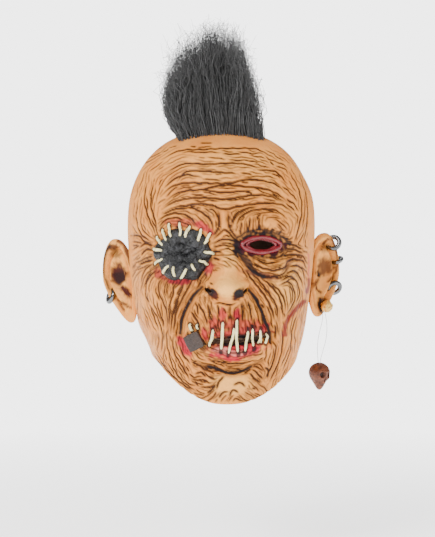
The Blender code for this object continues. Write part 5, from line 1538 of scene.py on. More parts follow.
def patch_material(looks):
    """Dull black patch, greyer in random worn places, darker in its pits as painted shade."""
    material, tree, shader, place = new_material("black_patch", 0.36)
    worn = noise_value(tree, place, 210.0, 4.0, 0.47, 0.64)
    dark = tuple(part * 0.42 for part in looks.patch_colour)
    colour = mix_colour(tree, worn, (*looks.patch_colour, 1.0), (0.028, 0.028, 0.031, 1.0))
    # Painted shade in the pits.
    colour = mix_colour(tree, attribute_value(tree, "pit"), colour, (*dark, 1.0))
    tree.links.new(colour, shader.inputs["Base Color"])
    shader.inputs["Specular IOR Level"].default_value = 0.35
    bump(tree, shader, noise_value(tree, place, 300.0, 4.0), 0.9, 0.0016)
    return material


def skull_material():
    """Reddish brown resin, darker in its hollows as painted shade."""
    material, tree, shader, place = new_material("dark_resin", 0.5)
    colour = mix_colour(tree, noise_value(tree, place, 260.0), (0.070, 0.017, 0.006, 1.0),
                        (0.20, 0.055, 0.020, 1.0))
    shader.inputs["Specular IOR Level"].default_value = 0.35
    # Painted shade in the hollows.
    colour = mix_colour(tree, attribute_value(tree, "wash_and_shade"), colour, (0.035, 0.012, 0.008, 1.0))
    tree.links.new(colour, shader.inputs["Base Color"])
    bump(tree, shader, noise_value(tree, place, 900.0), 0.5, 0.0004)
    return material


def hair_material(looks):
    """Black hair whose strands differ in tone."""
    material, tree, shader, place = new_material("black_hair", 0.38)
    tone = attribute_value(tree, "tone")
    light = tuple(part * 5.0 + 0.02 for part in looks.hair_colour)
    colour = mix_colour(tree, scaled(tree, tone, tone), (*looks.hair_colour, 1.0), (*light, 1.0))
    tree.links.new(colour, shader.inputs["Base Color"])
    shader.inputs["Specular IOR Level"].default_value = 0.6
    return material


def nylon_material():
    """Clear thread."""
    material, tree, shader, place = new_material("clear_nylon", 0.25)
    shader.inputs["Base Color"].default_value = (0.34, 0.34, 0.35, 1.0)
    shader.inputs["Transmission Weight"].default_value = 0.2
    shader.inputs["IOR"].default_value = 1.45
    return material


def curve_radius_tree(name, sides):
    """Geometry Nodes that turn lines of edges into tubes of a stored girth."""
    tree = bpy.data.node_groups.new(name, "GeometryNodeTree")
    face = tree.interface
    face.new_socket("Geometry", in_out="INPUT", socket_type="NodeSocketGeometry")
    radius = face.new_socket("Radius", in_out="INPUT", socket_type="NodeSocketFloat")
    material = face.new_socket("Material", in_out="INPUT", socket_type="NodeSocketMaterial")
    face.new_socket("Geometry", in_out="OUTPUT", socket_type="NodeSocketGeometry")
    given = node(tree, "NodeGroupInput")
    girth = node(tree, "GeometryNodeInputNamedAttribute", {"Name": "girth"},
                 data_type="FLOAT")
    curve = node(tree, "GeometryNodeMeshToCurve", {"Mesh": given.outputs["Geometry"]})
    size = node(tree, "ShaderNodeMath", {0: girth.outputs["Attribute"],
                                         1: given.outputs["Radius"]}, operation="MULTIPLY")
    ring = node(tree, "GeometryNodeCurvePrimitiveCircle", {"Resolution": sides, "Radius": 1.0})
    tube = node(tree, "GeometryNodeCurveToMesh",
                {"Curve": curve.outputs["Curve"], "Profile Curve": ring.outputs["Curve"],
                 "Scale": size.outputs[0], "Fill Caps": True})
    finish_tree(tree, tube.outputs["Mesh"], given.outputs["Material"])
    return tree, {"Radius": radius.identifier, "Material": material.identifier}


def finish_tree(tree, geometry, material):
    """End a tree: realize, shade smooth, set the material, put out."""
    real = node(tree, "GeometryNodeRealizeInstances", {"Geometry": geometry})
    smooth = node(tree, "GeometryNodeSetShadeSmooth",
                  {"Geometry": real.outputs["Geometry"], "Shade Smooth": True})
    coloured = node(tree, "GeometryNodeSetMaterial",
                    {"Geometry": smooth.outputs["Geometry"], "Material": material})
    node(tree, "NodeGroupOutput", {"Geometry": coloured.outputs["Geometry"]})


# Furthest that a strand reaches to the right, the back and the top.
HAIR_LIMIT = (0.10, 0.1225, 0.1160)


def hair_tree():
    """Geometry Nodes that grow crimped strands from a scalp towards its stored tips."""
    tree = bpy.data.node_groups.new("crimped_hair", "GeometryNodeTree")
    face = tree.interface
    face.new_socket("Geometry", in_out="INPUT", socket_type="NodeSocketGeometry")
    sockets = {}
    for name, kind in (("Density", "Float"), ("Radius", "Float"), ("Crimp", "Float"),
                       ("Waves", "Float"), ("Seed", "Int"), ("Material", "Material")):
        made = face.new_socket(name, in_out="INPUT", socket_type="NodeSocket" + kind)
        sockets[name] = made.identifier
    face.new_socket("Geometry", in_out="OUTPUT", socket_type="NodeSocketGeometry")
    given = node(tree, "NodeGroupInput")
    scatter = node(tree, "GeometryNodeDistributePointsOnFaces",
                   {"Mesh": given.outputs["Geometry"], "Density": given.outputs["Density"],
                    "Seed": given.outputs["Seed"]})
    position = node(tree, "GeometryNodeInputPosition")
    rooted = node(tree, "GeometryNodeStoreNamedAttribute",
                  {"Geometry": scatter.outputs["Points"], "Name": "root",
                   "Value": position.outputs["Position"]},
                  data_type="FLOAT_VECTOR", domain="POINT")
    drawn = node(tree, "FunctionNodeRandomValue",
                 {2: 0.0, 3: 1.0, "Seed": given.outputs["Seed"]}, data_type="FLOAT")
    toned = node(tree, "GeometryNodeStoreNamedAttribute",
                 {"Geometry": rooted.outputs["Geometry"], "Name": "tone",
                  "Value": drawn.outputs[1]}, data_type="FLOAT", domain="POINT")
    line = node(tree, "GeometryNodeCurvePrimitiveLine",
                {"Start": (0.0, 0.0, 0.0), "End": (0.0, 0.0, 1.0)})
    steps = node(tree, "GeometryNodeResampleCurve",
                 {"Curve": line.outputs["Curve"], "Count": 15})
    copies = node(tree, "GeometryNodeInstanceOnPoints",
                  {"Points": toned.outputs["Geometry"], "Instance": steps.outputs["Curve"]})
    real = node(tree, "GeometryNodeRealizeInstances",
                {"Geometry": copies.outputs["Instances"]})

    def named(name, kind):
        """Value stored under a name."""
        return node(tree, "GeometryNodeInputNamedAttribute", {"Name": name},
                    data_type=kind).outputs["Attribute"]

    def vector(operation, first, second):
        """Vector arithmetic."""
        values = {0: first, 1: second}
        if operation == "SCALE":
            values = {0: first, "Scale": second}
        return node(tree, "ShaderNodeVectorMath", values, operation=operation).outputs["Vector"]

    def number(operation, first, second):
        """Arithmetic."""
        return node(tree, "ShaderNodeMath", {0: first, 1: second},
                    operation=operation).outputs[0]

    along = node(tree, "GeometryNodeSplineParameter").outputs["Factor"]
    tone = named("tone", "FLOAT")
    root = named("root", "FLOAT_VECTOR")
    reach = node(tree, "ShaderNodeMapRange",
                 {"Value": tone, "To Min": 0.66, "To Max": 1.08}).outputs["Result"]
    straight = vector("SCALE", named("tip", "FLOAT_VECTOR"), number("MULTIPLY", along, reach))
    wave = number("MULTIPLY", along, given.outputs["Waves"])
    phase = number("MULTIPLY", tone, 41.0)
    swing = number("SINE", number("ADD", wave, phase), 0.0)
    other = number("COSINE", number("ADD", number("MULTIPLY", wave, 0.83), phase), 0.0)
    crimp = node(tree, "ShaderNodeCombineXYZ", {"X": swing, "Y": other, "Z": 0.0})
    crimp = vector("SCALE", crimp.outputs["Vector"], given.outputs["Crimp"])
    drift_at = vector("SCALE", root, 75.0)
    drift_in = node(tree, "ShaderNodeTexNoise",
                    {"Vector": drift_at, "W": number("MULTIPLY", along, 1.6), "Scale": 1.0,
                     "Detail": 1.0}, noise_dimensions="4D")
    drift = vector("SUBTRACT", drift_in.outputs["Color"], (0.5, 0.5, 0.5))
    drift = vector("SCALE", drift, number("MULTIPLY", along, 0.042))
    curls = node(tree, "ShaderNodeTexNoise",
                 {"Vector": vector("SCALE", root, 900.0), "W": number("MULTIPLY", along, 7.0),
                  "Scale": 1.0, "Detail": 1.0}, noise_dimensions="4D")
    curl = vector("SUBTRACT", curls.outputs["Color"], (0.5, 0.5, 0.5))
    frizz = number("MULTIPLY", number("MULTIPLY", along, along), 0.040)
    stray = node(tree, "ShaderNodeMapRange",
                 {"Value": tone, "From Min": 0.72, "To Min": 1.0, "To Max": 2.2})
    curl = vector("SCALE", curl, number("MULTIPLY", frizz, stray.outputs["Result"]))
    place = vector("ADD", vector("ADD", root, straight), crimp)
    place = vector("ADD", vector("ADD", place, drift), curl)
    left = node(tree, "ShaderNodeSeparateXYZ", {"Vector": root}).outputs["X"]
    bow = number("SINE", number("MULTIPLY", along, math.pi), 0.0)
    bow = number("MULTIPLY", number("MULTIPLY", number("MINIMUM", left, 0.0), 0.17), bow)
    outward = node(tree, "ShaderNodeCombineXYZ", {"X": bow, "Y": 0.0, "Z": 0.0})
    place = vector("ADD", place, outward.outputs["Vector"])
    place = vector("MINIMUM", place, HAIR_LIMIT)
    moved = node(tree, "GeometryNodeSetPosition",
                 {"Geometry": real.outputs["Geometry"], "Position": place})
    thin = node(tree, "ShaderNodeMapRange",
                {"Value": along, "To Min": 1.0, "To Max": 0.35}).outputs["Result"]
    size = number("MULTIPLY", thin, given.outputs["Radius"])
    ring = node(tree, "GeometryNodeCurvePrimitiveCircle", {"Resolution": 3, "Radius": 1.0})
    tube = node(tree, "GeometryNodeCurveToMesh",
                {"Curve": moved.outputs["Geometry"], "Profile Curve": ring.outputs["Curve"],
                 "Scale": size, "Fill Caps": True})
    finish_tree(tree, tube.outputs["Mesh"], given.outputs["Material"])
    return tree, sockets


def grow(thing, tree, sockets, values):
    """Run a Geometry Nodes tree on an object and keep the result as a plain mesh."""
    modifier = thing.modifiers.new(tree.name, "NODES")
    modifier.node_group = tree
    for name, value in values.items():
        modifier[sockets[name]] = value
    bake(thing)
    return thing


def strip_half_width(share):
    """Half width of the hair strip from its front to its back."""
    return HAIR_HALF_WIDTH * (1.0 - HAIR_BACK_NARROWING * share ** 2)


def hair_tip(across, along):
    """Tip of the hair that grows at a share across and a share along the strip."""
    sideways = np.asarray(LOCKS_ACROSS)
    lengthways = np.asarray(LOCKS_ALONG)
    tip_across = float(spline(sideways[:, 0], sideways[:, 1], across))
    tall = float(spline(sideways[:, 0], sideways[:, 2], across))
    back = float(np.interp(along, lengthways[:, 0], lengthways[:, 1]))
    tall *= float(np.interp(along, lengthways[:, 0], lengthways[:, 2]))
    return tip_across, back, tall


def scalp_mesh(tree, first, last):
    """Part of the hair strip from one share to another along it, with stored tips."""
    rows = 8
    columns = 15
    places = []
    tips = []
    for row in range(rows + 1):
        along = first + (last - first) * row / rows
        front = min(1.0, along / 0.2)
        half = strip_half_width(along) * (0.90 + 0.10 * math.sqrt(front * (2.0 - front)))
        y = HAIR_FRONT + (HAIR_BACK - HAIR_FRONT) * along
        for column in range(columns + 1):
            across = -1.0 + 2.0 * column / columns
            x = across * half - 0.002
            hit = tree.ray_cast(Vector((x, y, 0.2)), Vector((0.0, 0.0, -1.0)))[0]
            reach = max(-0.86, min(0.80, across))
            tip_across, back, tall = hair_tip(reach, along)
            tip_x = tip_across * half + (across - reach) * half * 0.9
            tall *= 1.0 - 1.3 * max(0.0, abs(across) - 0.72)
            tip = Vector((tip_x, y + back * HAIR_HEIGHT, HAIR_HEIGHT * tall * 1.03))
            root = hit - Vector((0.0, 0.0, 0.0006))
            places.append(root)
            tips.append(tip - root)
    faces = []
    for row in range(rows):
        for column in range(columns):
            here = row * (columns + 1) + column
            faces.append((here, here + 1, here + columns + 2, here + columns + 1))
    mesh = bpy.data.meshes.new("scalp")
    mesh.from_pydata(places, [], faces)
    layer = mesh.attributes.new("tip", "FLOAT_VECTOR", "POINT")
    layer.data.foreach_set("vector", [value for tip in tips for value in tip])
    area = sum(polygon.area for polygon in mesh.polygons)
    return mesh, area


def stitch_lines(tree, table, lift):
    """Mesh of edge lines that arch from end to end over the surface."""
    places = []
    edges = []
    girths = []
    for x, y, end_x, end_y, bow, girth in table:
        run = Vector((end_x - x, end_y - y))
        side = Vector((run.y, -run.x)).normalized()
        first = len(places)
        for step in range(STITCH_POINTS):
            share = step / (STITCH_POINTS - 1)
            arch = math.sin(math.pi * share)
            spot = Vector((x, y)) + run * share + side * bow * arch
            place, normal = hit_surface(tree, spot.x, spot.y)
            height = lift * (2.2 * min(1.0, arch * 1.6) - 1.0)
            places.append(place + normal * height)
            girths.append(girth * (0.82 + 0.18 * arch) * (1.0 + 0.07 * math.sin(spot.y * 3.0)))
            if step:
                edges.append((first + step - 1, first + step))
    mesh = bpy.data.meshes.new("stitches")
    mesh.from_pydata(places, edges, [])
    store_mask(mesh, "girth", girths)
    return mesh


def patch_surface(name, rings, steps, proud):
    """Closed patch that follows the skin, with a domed, lumpy outside."""
    shares = np.asarray(PATCH_EDGE_SHARES)
    around = np.arange(steps) / steps * len(shares)
    wrapped = np.concatenate((shares[-2:], shares, shares[:3]))
    edge = spline(np.arange(-2.0, len(shares) + 3.0), wrapped, around)
    profile_ring = (0.0, 0.30, 0.58, 0.82, 0.94, 1.00)
    profile_rise = (0.62, 0.86, 0.95, 0.68, 0.34, 0.02)

    def place(ring, step, height):
        """Point over the skin inside the patch's edge."""
        angle = step / steps * 2.0 * math.pi
        reach = edge[step] * ring
        across = PATCH_PLACE[0] + PATCH_HALF_WIDTH / HALF_WIDTH * reach * math.cos(angle)
        down = PATCH_PLACE[1] - PATCH_HALF_HEIGHT / SKIN_HEIGHT * reach * math.sin(angle)
        point, normal = place_on_face(across, down)
        return point + normal * height

    rows = []
    for index in range(1, rings + 1):
        ring = index / rings
        rise = float(np.interp(ring, profile_ring, profile_rise))
        row = []
        for step in range(steps):
            angle = step / steps * 2.0 * math.pi
            lump = 1.0 + 0.16 * math.sin(5.0 * angle + 6.0 * ring)
            height = PATCH_EDGE * (1.0 - 0.7 * ring ** 8) + PATCH_DOME * rise * lump * proud
            row.append(place(ring, step, height))
        rows.append(row)
    for ring in (1.0, 0.6):
        rows.append([place(ring, step, -0.0015) for step in range(steps)])
    return grid_mesh(name, rows, place(0.0, 0, PATCH_EDGE + PATCH_DOME * 0.62),
                     place(0.0, 0, -0.0015))


def stud_place():
    """Point where the post leaves the lobe, and the direction out of the lobe."""
    frame, root = ear_frame("right")
    outward = EAR_HALF_WIDTH * (EAR_REACH + STUD_PLACE[0])
    up = EAR_HALF_HEIGHT * STUD_PLACE[1]
    ring = abs(STUD_PLACE[1])
    lobe = max(0.0, -math.sin(math.radians(-88.0))) ** 4
    rim = HELIX_ROLL * math.exp(-((ring - 0.90) / 0.13) ** 2)
    ridge = 0.6 * HELIX_ROLL * math.exp(-((ring - 0.55) / 0.14) ** 2)
    bowl = -CONCHA_DEPTH * math.exp(-(ring / 0.42) ** 2)
    height = (rim + ridge) * (1.0 - lobe) + bowl
    face = frame @ Vector((0.0, 0.0, 1.0))
    return root + frame @ Vector((outward, up, height)), face


def thread_place(outward, face, up):
    """World place of a point given from the middle of the post."""
    point, normal = stud_place()
    frame, root = ear_frame("right")
    away = frame @ Vector((1.0, 0.0, 0.0))
    anchor = point + normal * THREAD_STAND_OFF * 0.5
    return anchor + away * outward + normal * face + Vector((0.0, 0.0, up))


class MASK_OT_skin(bpy.types.Operator):
    """Build the latex skin with its creases and paint"""

    bl_idname = "mask.skin"
    bl_label = "Latex Skin"

    def execute(self, context):
        looks = context.scene.mask_skin_looks
        for kind in range(HOLE_FACES + 1):
            bpy.data.materials.new("face_kind_%d" % kind)
        turn = fine_columns()
        down = fine_rows(turn)
        outer = head_solid("mask_skin_fine", 0.0, np.broadcast_to(turn, down.shape), down)
        smooth_tree = surface_tree(outer)
        skin = tool_object(outer, SKIN_FACES)
        combine(skin, [ear_solid(ear, EAR_FACES) for ear in EARS], "UNION")
        cutters = [tool_object(cavity_solid(), INSIDE_FACES)] + hole_cutters()
        combine(skin, cutters, "DIFFERENCE")
        mesh = skin.data
        points = vertex_array(mesh)
        kinds = np.empty(len(mesh.polygons), np.int32)
        mesh.polygons.foreach_get("material_index", kinds)
        outside = np.zeros(len(points), bool)
        inside = np.zeros(len(points), bool)
        on_ear = np.zeros(len(points), bool)
        for polygon in mesh.polygons:
            if kinds[polygon.index] == EAR_FACES:
                on_ear[list(polygon.vertices)] = True
            if kinds[polygon.index] in (SKIN_FACES, EAR_FACES):
                outside[list(polygon.vertices)] = True
            else:
                inside[list(polygon.vertices)] = True
        normals = normal_array(mesh).astype(float)
        towards = normals @ np.array(camera_axes()[1])
        facing = outside & (towards > PAINT_FADE[0])
        depth, wash_and_shade = skin_grooves(points, facing, smooth_tree)
        depth[inside] *= EDGE_SHARE
        # Wide folds, darkened as painted shade.
        folds, fold_wash_and_shade = wide_folds(points, facing)
        masks = painted_masks(points, facing * smooth_step(*PAINT_FADE, towards), on_ear)
        masks["wash_and_shade"] = np.maximum(wash_and_shade, fold_wash_and_shade)
        pushed = np.minimum((depth + folds) * looks.crease_depth, DEEPEST)
        points -= normals * pushed[:, None]
        set_vertices(mesh, points)
        for name, values in masks.items():
            store_mask(mesh, name, values)
        latex = latex_material(looks)
        mesh.materials.clear()
        mesh.materials.append(latex)
        mesh.materials.append(inside_painted_shade_material())
        mesh.polygons.foreach_set("material_index", (kinds >= INSIDE_FACES).astype(np.int32))
        mesh.shade_smooth()
        mesh.set_sharp_from_angle(angle=math.radians(70.0))
        skin.name = "latex_skin"
        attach(skin, "root")
        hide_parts("mask_skin")
        return {"FINISHED"}


class MASK_OT_lids(bpy.types.Operator):
    """Build the swollen lids round the eye hole"""

    bl_idname = "mask.lids"
    bl_label = "Eye Lids"

    def execute(self, context):
        middle, normal = place_on_face(*EYE_PLACE)
        count = 64
        rings = []
        for across_scale, up_scale, radius in LID_RINGS:
            points = []
            bulge = []
            for index, (x, z) in enumerate(almond(middle, 1.0, count)):
                x = middle.x + LID_SHIFT + (x - middle.x) * across_scale
                z = middle.z + (z - middle.z) * up_scale
                point, normal = place_on_face(x / HALF_WIDTH, (WALL - z) / SKIN_HEIGHT)
                points.append(point + normal * radius * 0.3)
                angle = index / count * 2.0 * math.pi
                wave = 0.14 * math.sin(angle * 7.0) + 0.25 * abs(math.sin(angle))
                bulge.append(radius * (1.0 + wave))
            rings.append(torus_mesh("lid", ring_rows(points, 1.0, 12, bulge)))
        mesh = joined("eye_lids", rings)
        material = plain_material("wet_lids", (0.17, 0.008, 0.013), 0.25, 0.0, 0.0005, 500.0)
        add_piece("eye_lids", mesh, material)
        return {"FINISHED"}


class MASK_OT_patch(bpy.types.Operator):
    """Build the patch over the left eye"""

    bl_idname = "mask.patch"
    bl_label = "Eye Patch"

    def execute(self, context):
        looks = context.scene.mask_trim_looks
        mesh = patch_surface("patch", 44, 128, 1.0)
        points = vertex_array(mesh)
        x, y = pixels_of(points)
        normals = normal_array(mesh)
        front = normals @ np.array(camera_axes()[1]) > 0.3
        pit = np.zeros(len(points))
        rise = np.array([noise.fractal(Vector(p) * 190.0, 1.0, 2.0, 4) for p in points]) * 0.0011
        for middle_x, middle_y, half, deep in PATCH_PITS:
            share = np.hypot(x - middle_x, y - middle_y) / half + rise * 350.0
            hollow = np.exp(-np.maximum(share, 0.0) ** 3) * front
            pit = np.maximum(pit, hollow)
            rise = rise - hollow * deep * 0.001
        set_vertices(mesh, points + normals * (rise * front)[:, None])
        # Where the pits are, darkened in the material as painted shade.
        store_mask(mesh, "pit", pit)
        add_piece("leather_patch", mesh, patch_material(looks), ("eye_patch",))
        return {"FINISHED"}


class MASK_OT_tag(bpy.types.Operator):
    """Build the block at the corner of the mouth"""

    bl_idname = "mask.tag"
    bl_label = "Mouth Tag"

    def execute(self, context):
        point, normal = place_on_face(*TAG_PLACE)
        across = Vector((math.cos(TAG_TURN), 0.0, math.sin(TAG_TURN)))
        across = (across - normal * across.dot(normal)).normalized()
        up = normal.cross(across)
        half = TAG_SIDE / 2.0
        levels = [(TAG_THICKNESS * (1.0 - 0.04 * (i / 6.0) ** 2), half * i / 6.0)
                  for i in range(1, 6)]
        levels += [(TAG_THICKNESS - 0.0006, half - 0.0002), (TAG_THICKNESS - 0.0013, half)]
        levels += [(0.0, half), (-0.009, half)]
        rows = []
        for height, reach in levels:
            row = []
            for step in range(48):
                angle = step / 48 * 2.0 * math.pi
                wide = max(abs(math.cos(angle)), abs(math.sin(angle)))
                corner = 1.0 - 0.05 * (abs(math.cos(angle) * math.sin(angle)) * 2.0) ** 8
                x = math.cos(angle) / wide * corner
                y = math.sin(angle) / wide * corner
                spot = point + across * x * reach + up * y * reach + normal * height
                row.append(spot + normal * noise.noise(spot * 320.0) * 0.0005)
            rows.append(row)
        mesh = grid_mesh("tag", rows, point + normal * TAG_THICKNESS, point - normal * 0.009)
        material = plain_material("brown_block", (0.026, 0.010, 0.004), 0.5, 0.0, 0.0016, 380.0)
        tag = add_piece("brown_tag", mesh, material, ("mouth_tag",))
        tag.data.set_sharp_from_angle(angle=math.radians(40.0))
        return {"FINISHED"}


class MASK_OT_stitches(bpy.types.Operator):
    """Sew the stitches round the patch and over the mouth"""

    bl_idname = "mask.stitches"
    bl_label = "Stitches"

    def execute(self, context):
        looks = context.scene.mask_trim_looks
        material = plain_material("stitch_thread", tuple(looks.stitch_colour), 0.6, 0.0,
                                  0.0004, 600.0)
        turn = fine_columns()[::2]
        down = fine_rows(turn)[::2]
        head = head_solid("smooth_head", 0.0, np.broadcast_to(turn, down.shape), down)
        patch = bpy.data.objects["leather_patch"].data
        places = [tuple(v.co) for v in head.vertices]
        faces = [tuple(p.vertices) for p in head.polygons]
        on_skin = BVHTree.FromPolygons(places, faces)
        first = len(places)
        places += [tuple(v.co) for v in patch.vertices]
        faces += [tuple(index + first for index in p.vertices) for p in patch.polygons]
        over_patch = BVHTree.FromPolygons(places, faces)
        tree, sockets = curve_radius_tree("stitch_tubes", STITCH_SIDES)
        for name, surface, table, lift in (
                ("patch_stitches", over_patch, PATCH_STITCHES, STITCH_LIFT),
                ("mouth_stitches", on_skin, MOUTH_STITCHES, STITCH_LIFT * 1.5)):
            thing = add_object(name, stitch_lines(surface, table, lift))
            grow(thing, tree, sockets, {"Radius": looks.stitch_radius, "Material": material})
            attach(thing, "root")
        bpy.data.meshes.remove(head)
        return {"FINISHED"}


class MASK_OT_rings(bpy.types.Operator):
    """Build the four rings of the ears"""

    bl_idname = "mask.rings"
    bl_label = "Ear Rings"

    def execute(self, context):
        looks = context.scene.mask_trim_looks
        steel = plain_material("ring_steel", (0.17, 0.172, 0.175), looks.steel_roughness, 1.0)
        for name in RINGS:
            low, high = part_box(name)
            ear, angle, radius, tube, roll = RINGS[name]
            points = []
            spoke, across = ring_frame(ear, angle, roll)
            centre = (low + high) / 2.0
            for step in range(56):
                turn = step / 56 * 2.0 * math.pi
                points.append(centre + (spoke * math.cos(turn) + across * math.sin(turn)) * radius)
            mesh = torus_mesh(name, ring_rows(points, tube, 20))
            add_piece("steel_" + name, mesh, steel, (name,))
        return {"FINISHED"}


def ring_frame(ear, angle, roll):
    """Two directions in the plane of a ring on the edge of an ear."""
    frame, root = ear_frame(ear)
    middle = EAR_HALF_WIDTH * EAR_MIDDLE

    def rim(ring):
        """Point of the ear's sheet near its edge."""
        outward, up = ear_outline(ear, angle)
        return root + frame @ Vector((middle + (outward - middle) * ring, up * ring, 0.0))

    face = frame @ Vector((0.0, 0.0, 1.0))
    spoke = rim(RING_SEAT) - rim(RING_INNER)
    spoke = (spoke - face * spoke.dot(face)).normalized()
    tangent = spoke.cross(face)
    return spoke, face * math.cos(roll) + tangent * math.sin(roll)


class MASK_OT_stud(bpy.types.Operator):
    """Build the nugget and its post"""

    bl_idname = "mask.stud"
    bl_label = "Lobe Stud"

    def execute(self, context):
        point, face = stud_place()
        centre = point + face * (THREAD_STAND_OFF + NUGGET_BACK * NUGGET_RADIUS)
        across = face.orthogonal().normalized()
        other = face.cross(across)
        rows = []
        for level in range(1, 32):
            polar = level / 32 * math.pi
            row = []
            for step in range(48):
                angle = step / 48 * 2.0 * math.pi
                ray = (face * math.cos(polar) + across * math.sin(polar) * math.cos(angle)
                       + other * math.sin(polar) * math.sin(angle))
                rough = 1.0 + 0.16 * noise.noise(ray * 2.1) + 0.09 * noise.noise(ray * 5.0)
                spot = ray * NUGGET_RADIUS * rough
                behind = -NUGGET_BACK * NUGGET_RADIUS - spot.dot(face)
                row.append(centre + spot + face * max(0.0, behind))
            rows.append(row)
        back = centre - face * NUGGET_BACK * NUGGET_RADIUS
        mesh = grid_mesh("nugget", rows, centre + face * NUGGET_RADIUS, back)
        gold = plain_material("gold_nugget", (0.95, 0.56, 0.12), 0.34, 0.30, 0.0018, 260.0)
        add_piece("gold_stud", mesh, gold, ("ear_stud",))
        ends = [back + face * 0.001, point - face * POST_LENGTH]
        post = grid_mesh("post", tube_rows(ends, [POST_RADIUS] * 2, 20), *ends)
        add_piece("stud_post", post, gold)
        return {"FINISHED"}


class MASK_OT_pendant(bpy.types.Operator):
    """Hang the skull on its thread"""

    bl_idname = "mask.pendant"
    bl_label = "Skull Pendant"

    def execute(self, context):
        skull = self.skull()
        route = np.array([thread_place(*place) for place in THREAD_ROUTE])
        steps = np.linalg.norm(np.diff(route, axis=0), axis=1)
        knots = np.concatenate(([0.0], np.cumsum(steps)))
        count = THREAD_POINTS_EACH * (len(knots) - 1)
        where = np.interp(np.arange(count + 1) / THREAD_POINTS_EACH, np.arange(len(knots)), knots)
        points = np.stack([spline(knots, route[:, axis], where) for axis in range(3)], axis=1)
        curve = bpy.data.curves.new("clear_thread", "CURVE")
        curve.dimensions = "3D"
        curve.bevel_depth = THREAD_DIAMETER / 2.0
        curve.bevel_resolution = 3
        curve.use_fill_caps = True
        line = curve.splines.new("POLY")
        line.points.add(len(points) - 1)
        for knot, point in zip(line.points, points):
            knot.co = (*point, 1.0)
        curve.materials.append(nylon_material())
        thread = bpy.data.objects.new("clear_thread", curve)
        context.scene.collection.objects.link(thread)
        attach(thread, "root")
        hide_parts("thread_loop")
        return {"FINISHED"}

    def skull(self):
        """Skull: braincase, brow, sockets, nose, cheekbones, teeth and jaw."""
        turn = thread_place(*THREAD_TURN)
        half_width = PENDANT_WIDTH / 2.0
        half_depth = PENDANT_DEPTH / 2.0
        case_height = PENDANT_HEIGHT * 0.36
        rows = []
        dark = []
        swing = Matrix.Rotation(PENDANT_SWING, 3, "Z")
        base = Vector((turn.x, turn.y, turn.z + PENDANT_SINK - case_height))
        levels = 90
        sides = 110

        def shaped(direction):
            """Place of one direction on the skull, and how deep in a hollow it is."""
            x, y, z = direction
            jaw = float(smooth_step(0.05, 0.9, -z))
            wide = half_width * (1.0 - 0.42 * jaw)
            deep = half_depth * (1.0 - 0.35 * jaw)
            tall = case_height if z > 0.0 else PENDANT_HEIGHT - case_height
            front = float(smooth_step(0.0, 0.5, -y))
            eye = math.exp(-(((abs(x) - 0.40) / 0.21) ** 2 + ((z + 0.10) / 0.17) ** 2) ** 2)
            nose = math.exp(-((x / 0.12) ** 2 + ((z + 0.40) / 0.13) ** 2) ** 2)
            cheek = math.exp(-((abs(x) - 0.62) / 0.16) ** 2 - ((z + 0.34) / 0.12) ** 2)
            under = math.exp(-((abs(x) - 0.55) / 0.14) ** 2 - ((z + 0.58) / 0.10) ** 2)
            brow = math.exp(-((z - 0.12) / 0.09) ** 2) * math.exp(-(x / 0.6) ** 4)
            mouth = math.exp(-((z + 0.70) / 0.035) ** 2) * math.exp(-(x / 0.5) ** 4)
            teeth = math.exp(-((z + 0.70) / 0.14) ** 2) * math.exp(-(x / 0.48) ** 4)
            gaps = max(0.0, math.cos(x * 44.0)) ** 6 * teeth
            hollow = 0.42 * eye + 0.30 * nose + 0.12 * mouth + 0.07 * gaps + 0.20 * under
            dent = front * (hollow - 0.12 * cheek - 0.12 * brow - 0.08 * teeth)
            spot = Vector((wide * x * (1.0 + 0.10 * cheek * front), deep * y * (1.0 - dent),
                           tall * z))
            # Painted shade in the eye sockets, nose, mouth, gaps of the teeth and under the
            # cheekbones.
            wash_and_shade = front * min(1.0, 1.2 * eye + 1.2 * nose + mouth + 0.8 * gaps + 0.5 * under)
            return base + swing @ spot, wash_and_shade

        for level in range(1, levels):
            polar = level / levels * math.pi
            row = []
            for step in range(sides):
                angle = step / sides * 2.0 * math.pi
                ray = Vector((math.sin(polar) * math.cos(angle),
                              math.sin(polar) * math.sin(angle), math.cos(polar)))
                place, wash_and_shade = shaped(ray)
                row.append(place)
                dark.append(wash_and_shade)
            rows.append(row)
        top, wash_and_shade = shaped(Vector((0.0, 0.0, 1.0)))
        bottom, wash_and_shade = shaped(Vector((0.0, 0.0, -1.0)))
        mesh = grid_mesh("skull", rows, top, bottom)
        store_mask(mesh, "wash_and_shade", dark + [0.0, 0.0])
        return add_piece("resin_skull", mesh, skull_material(),
                         ("skull_pendant",))


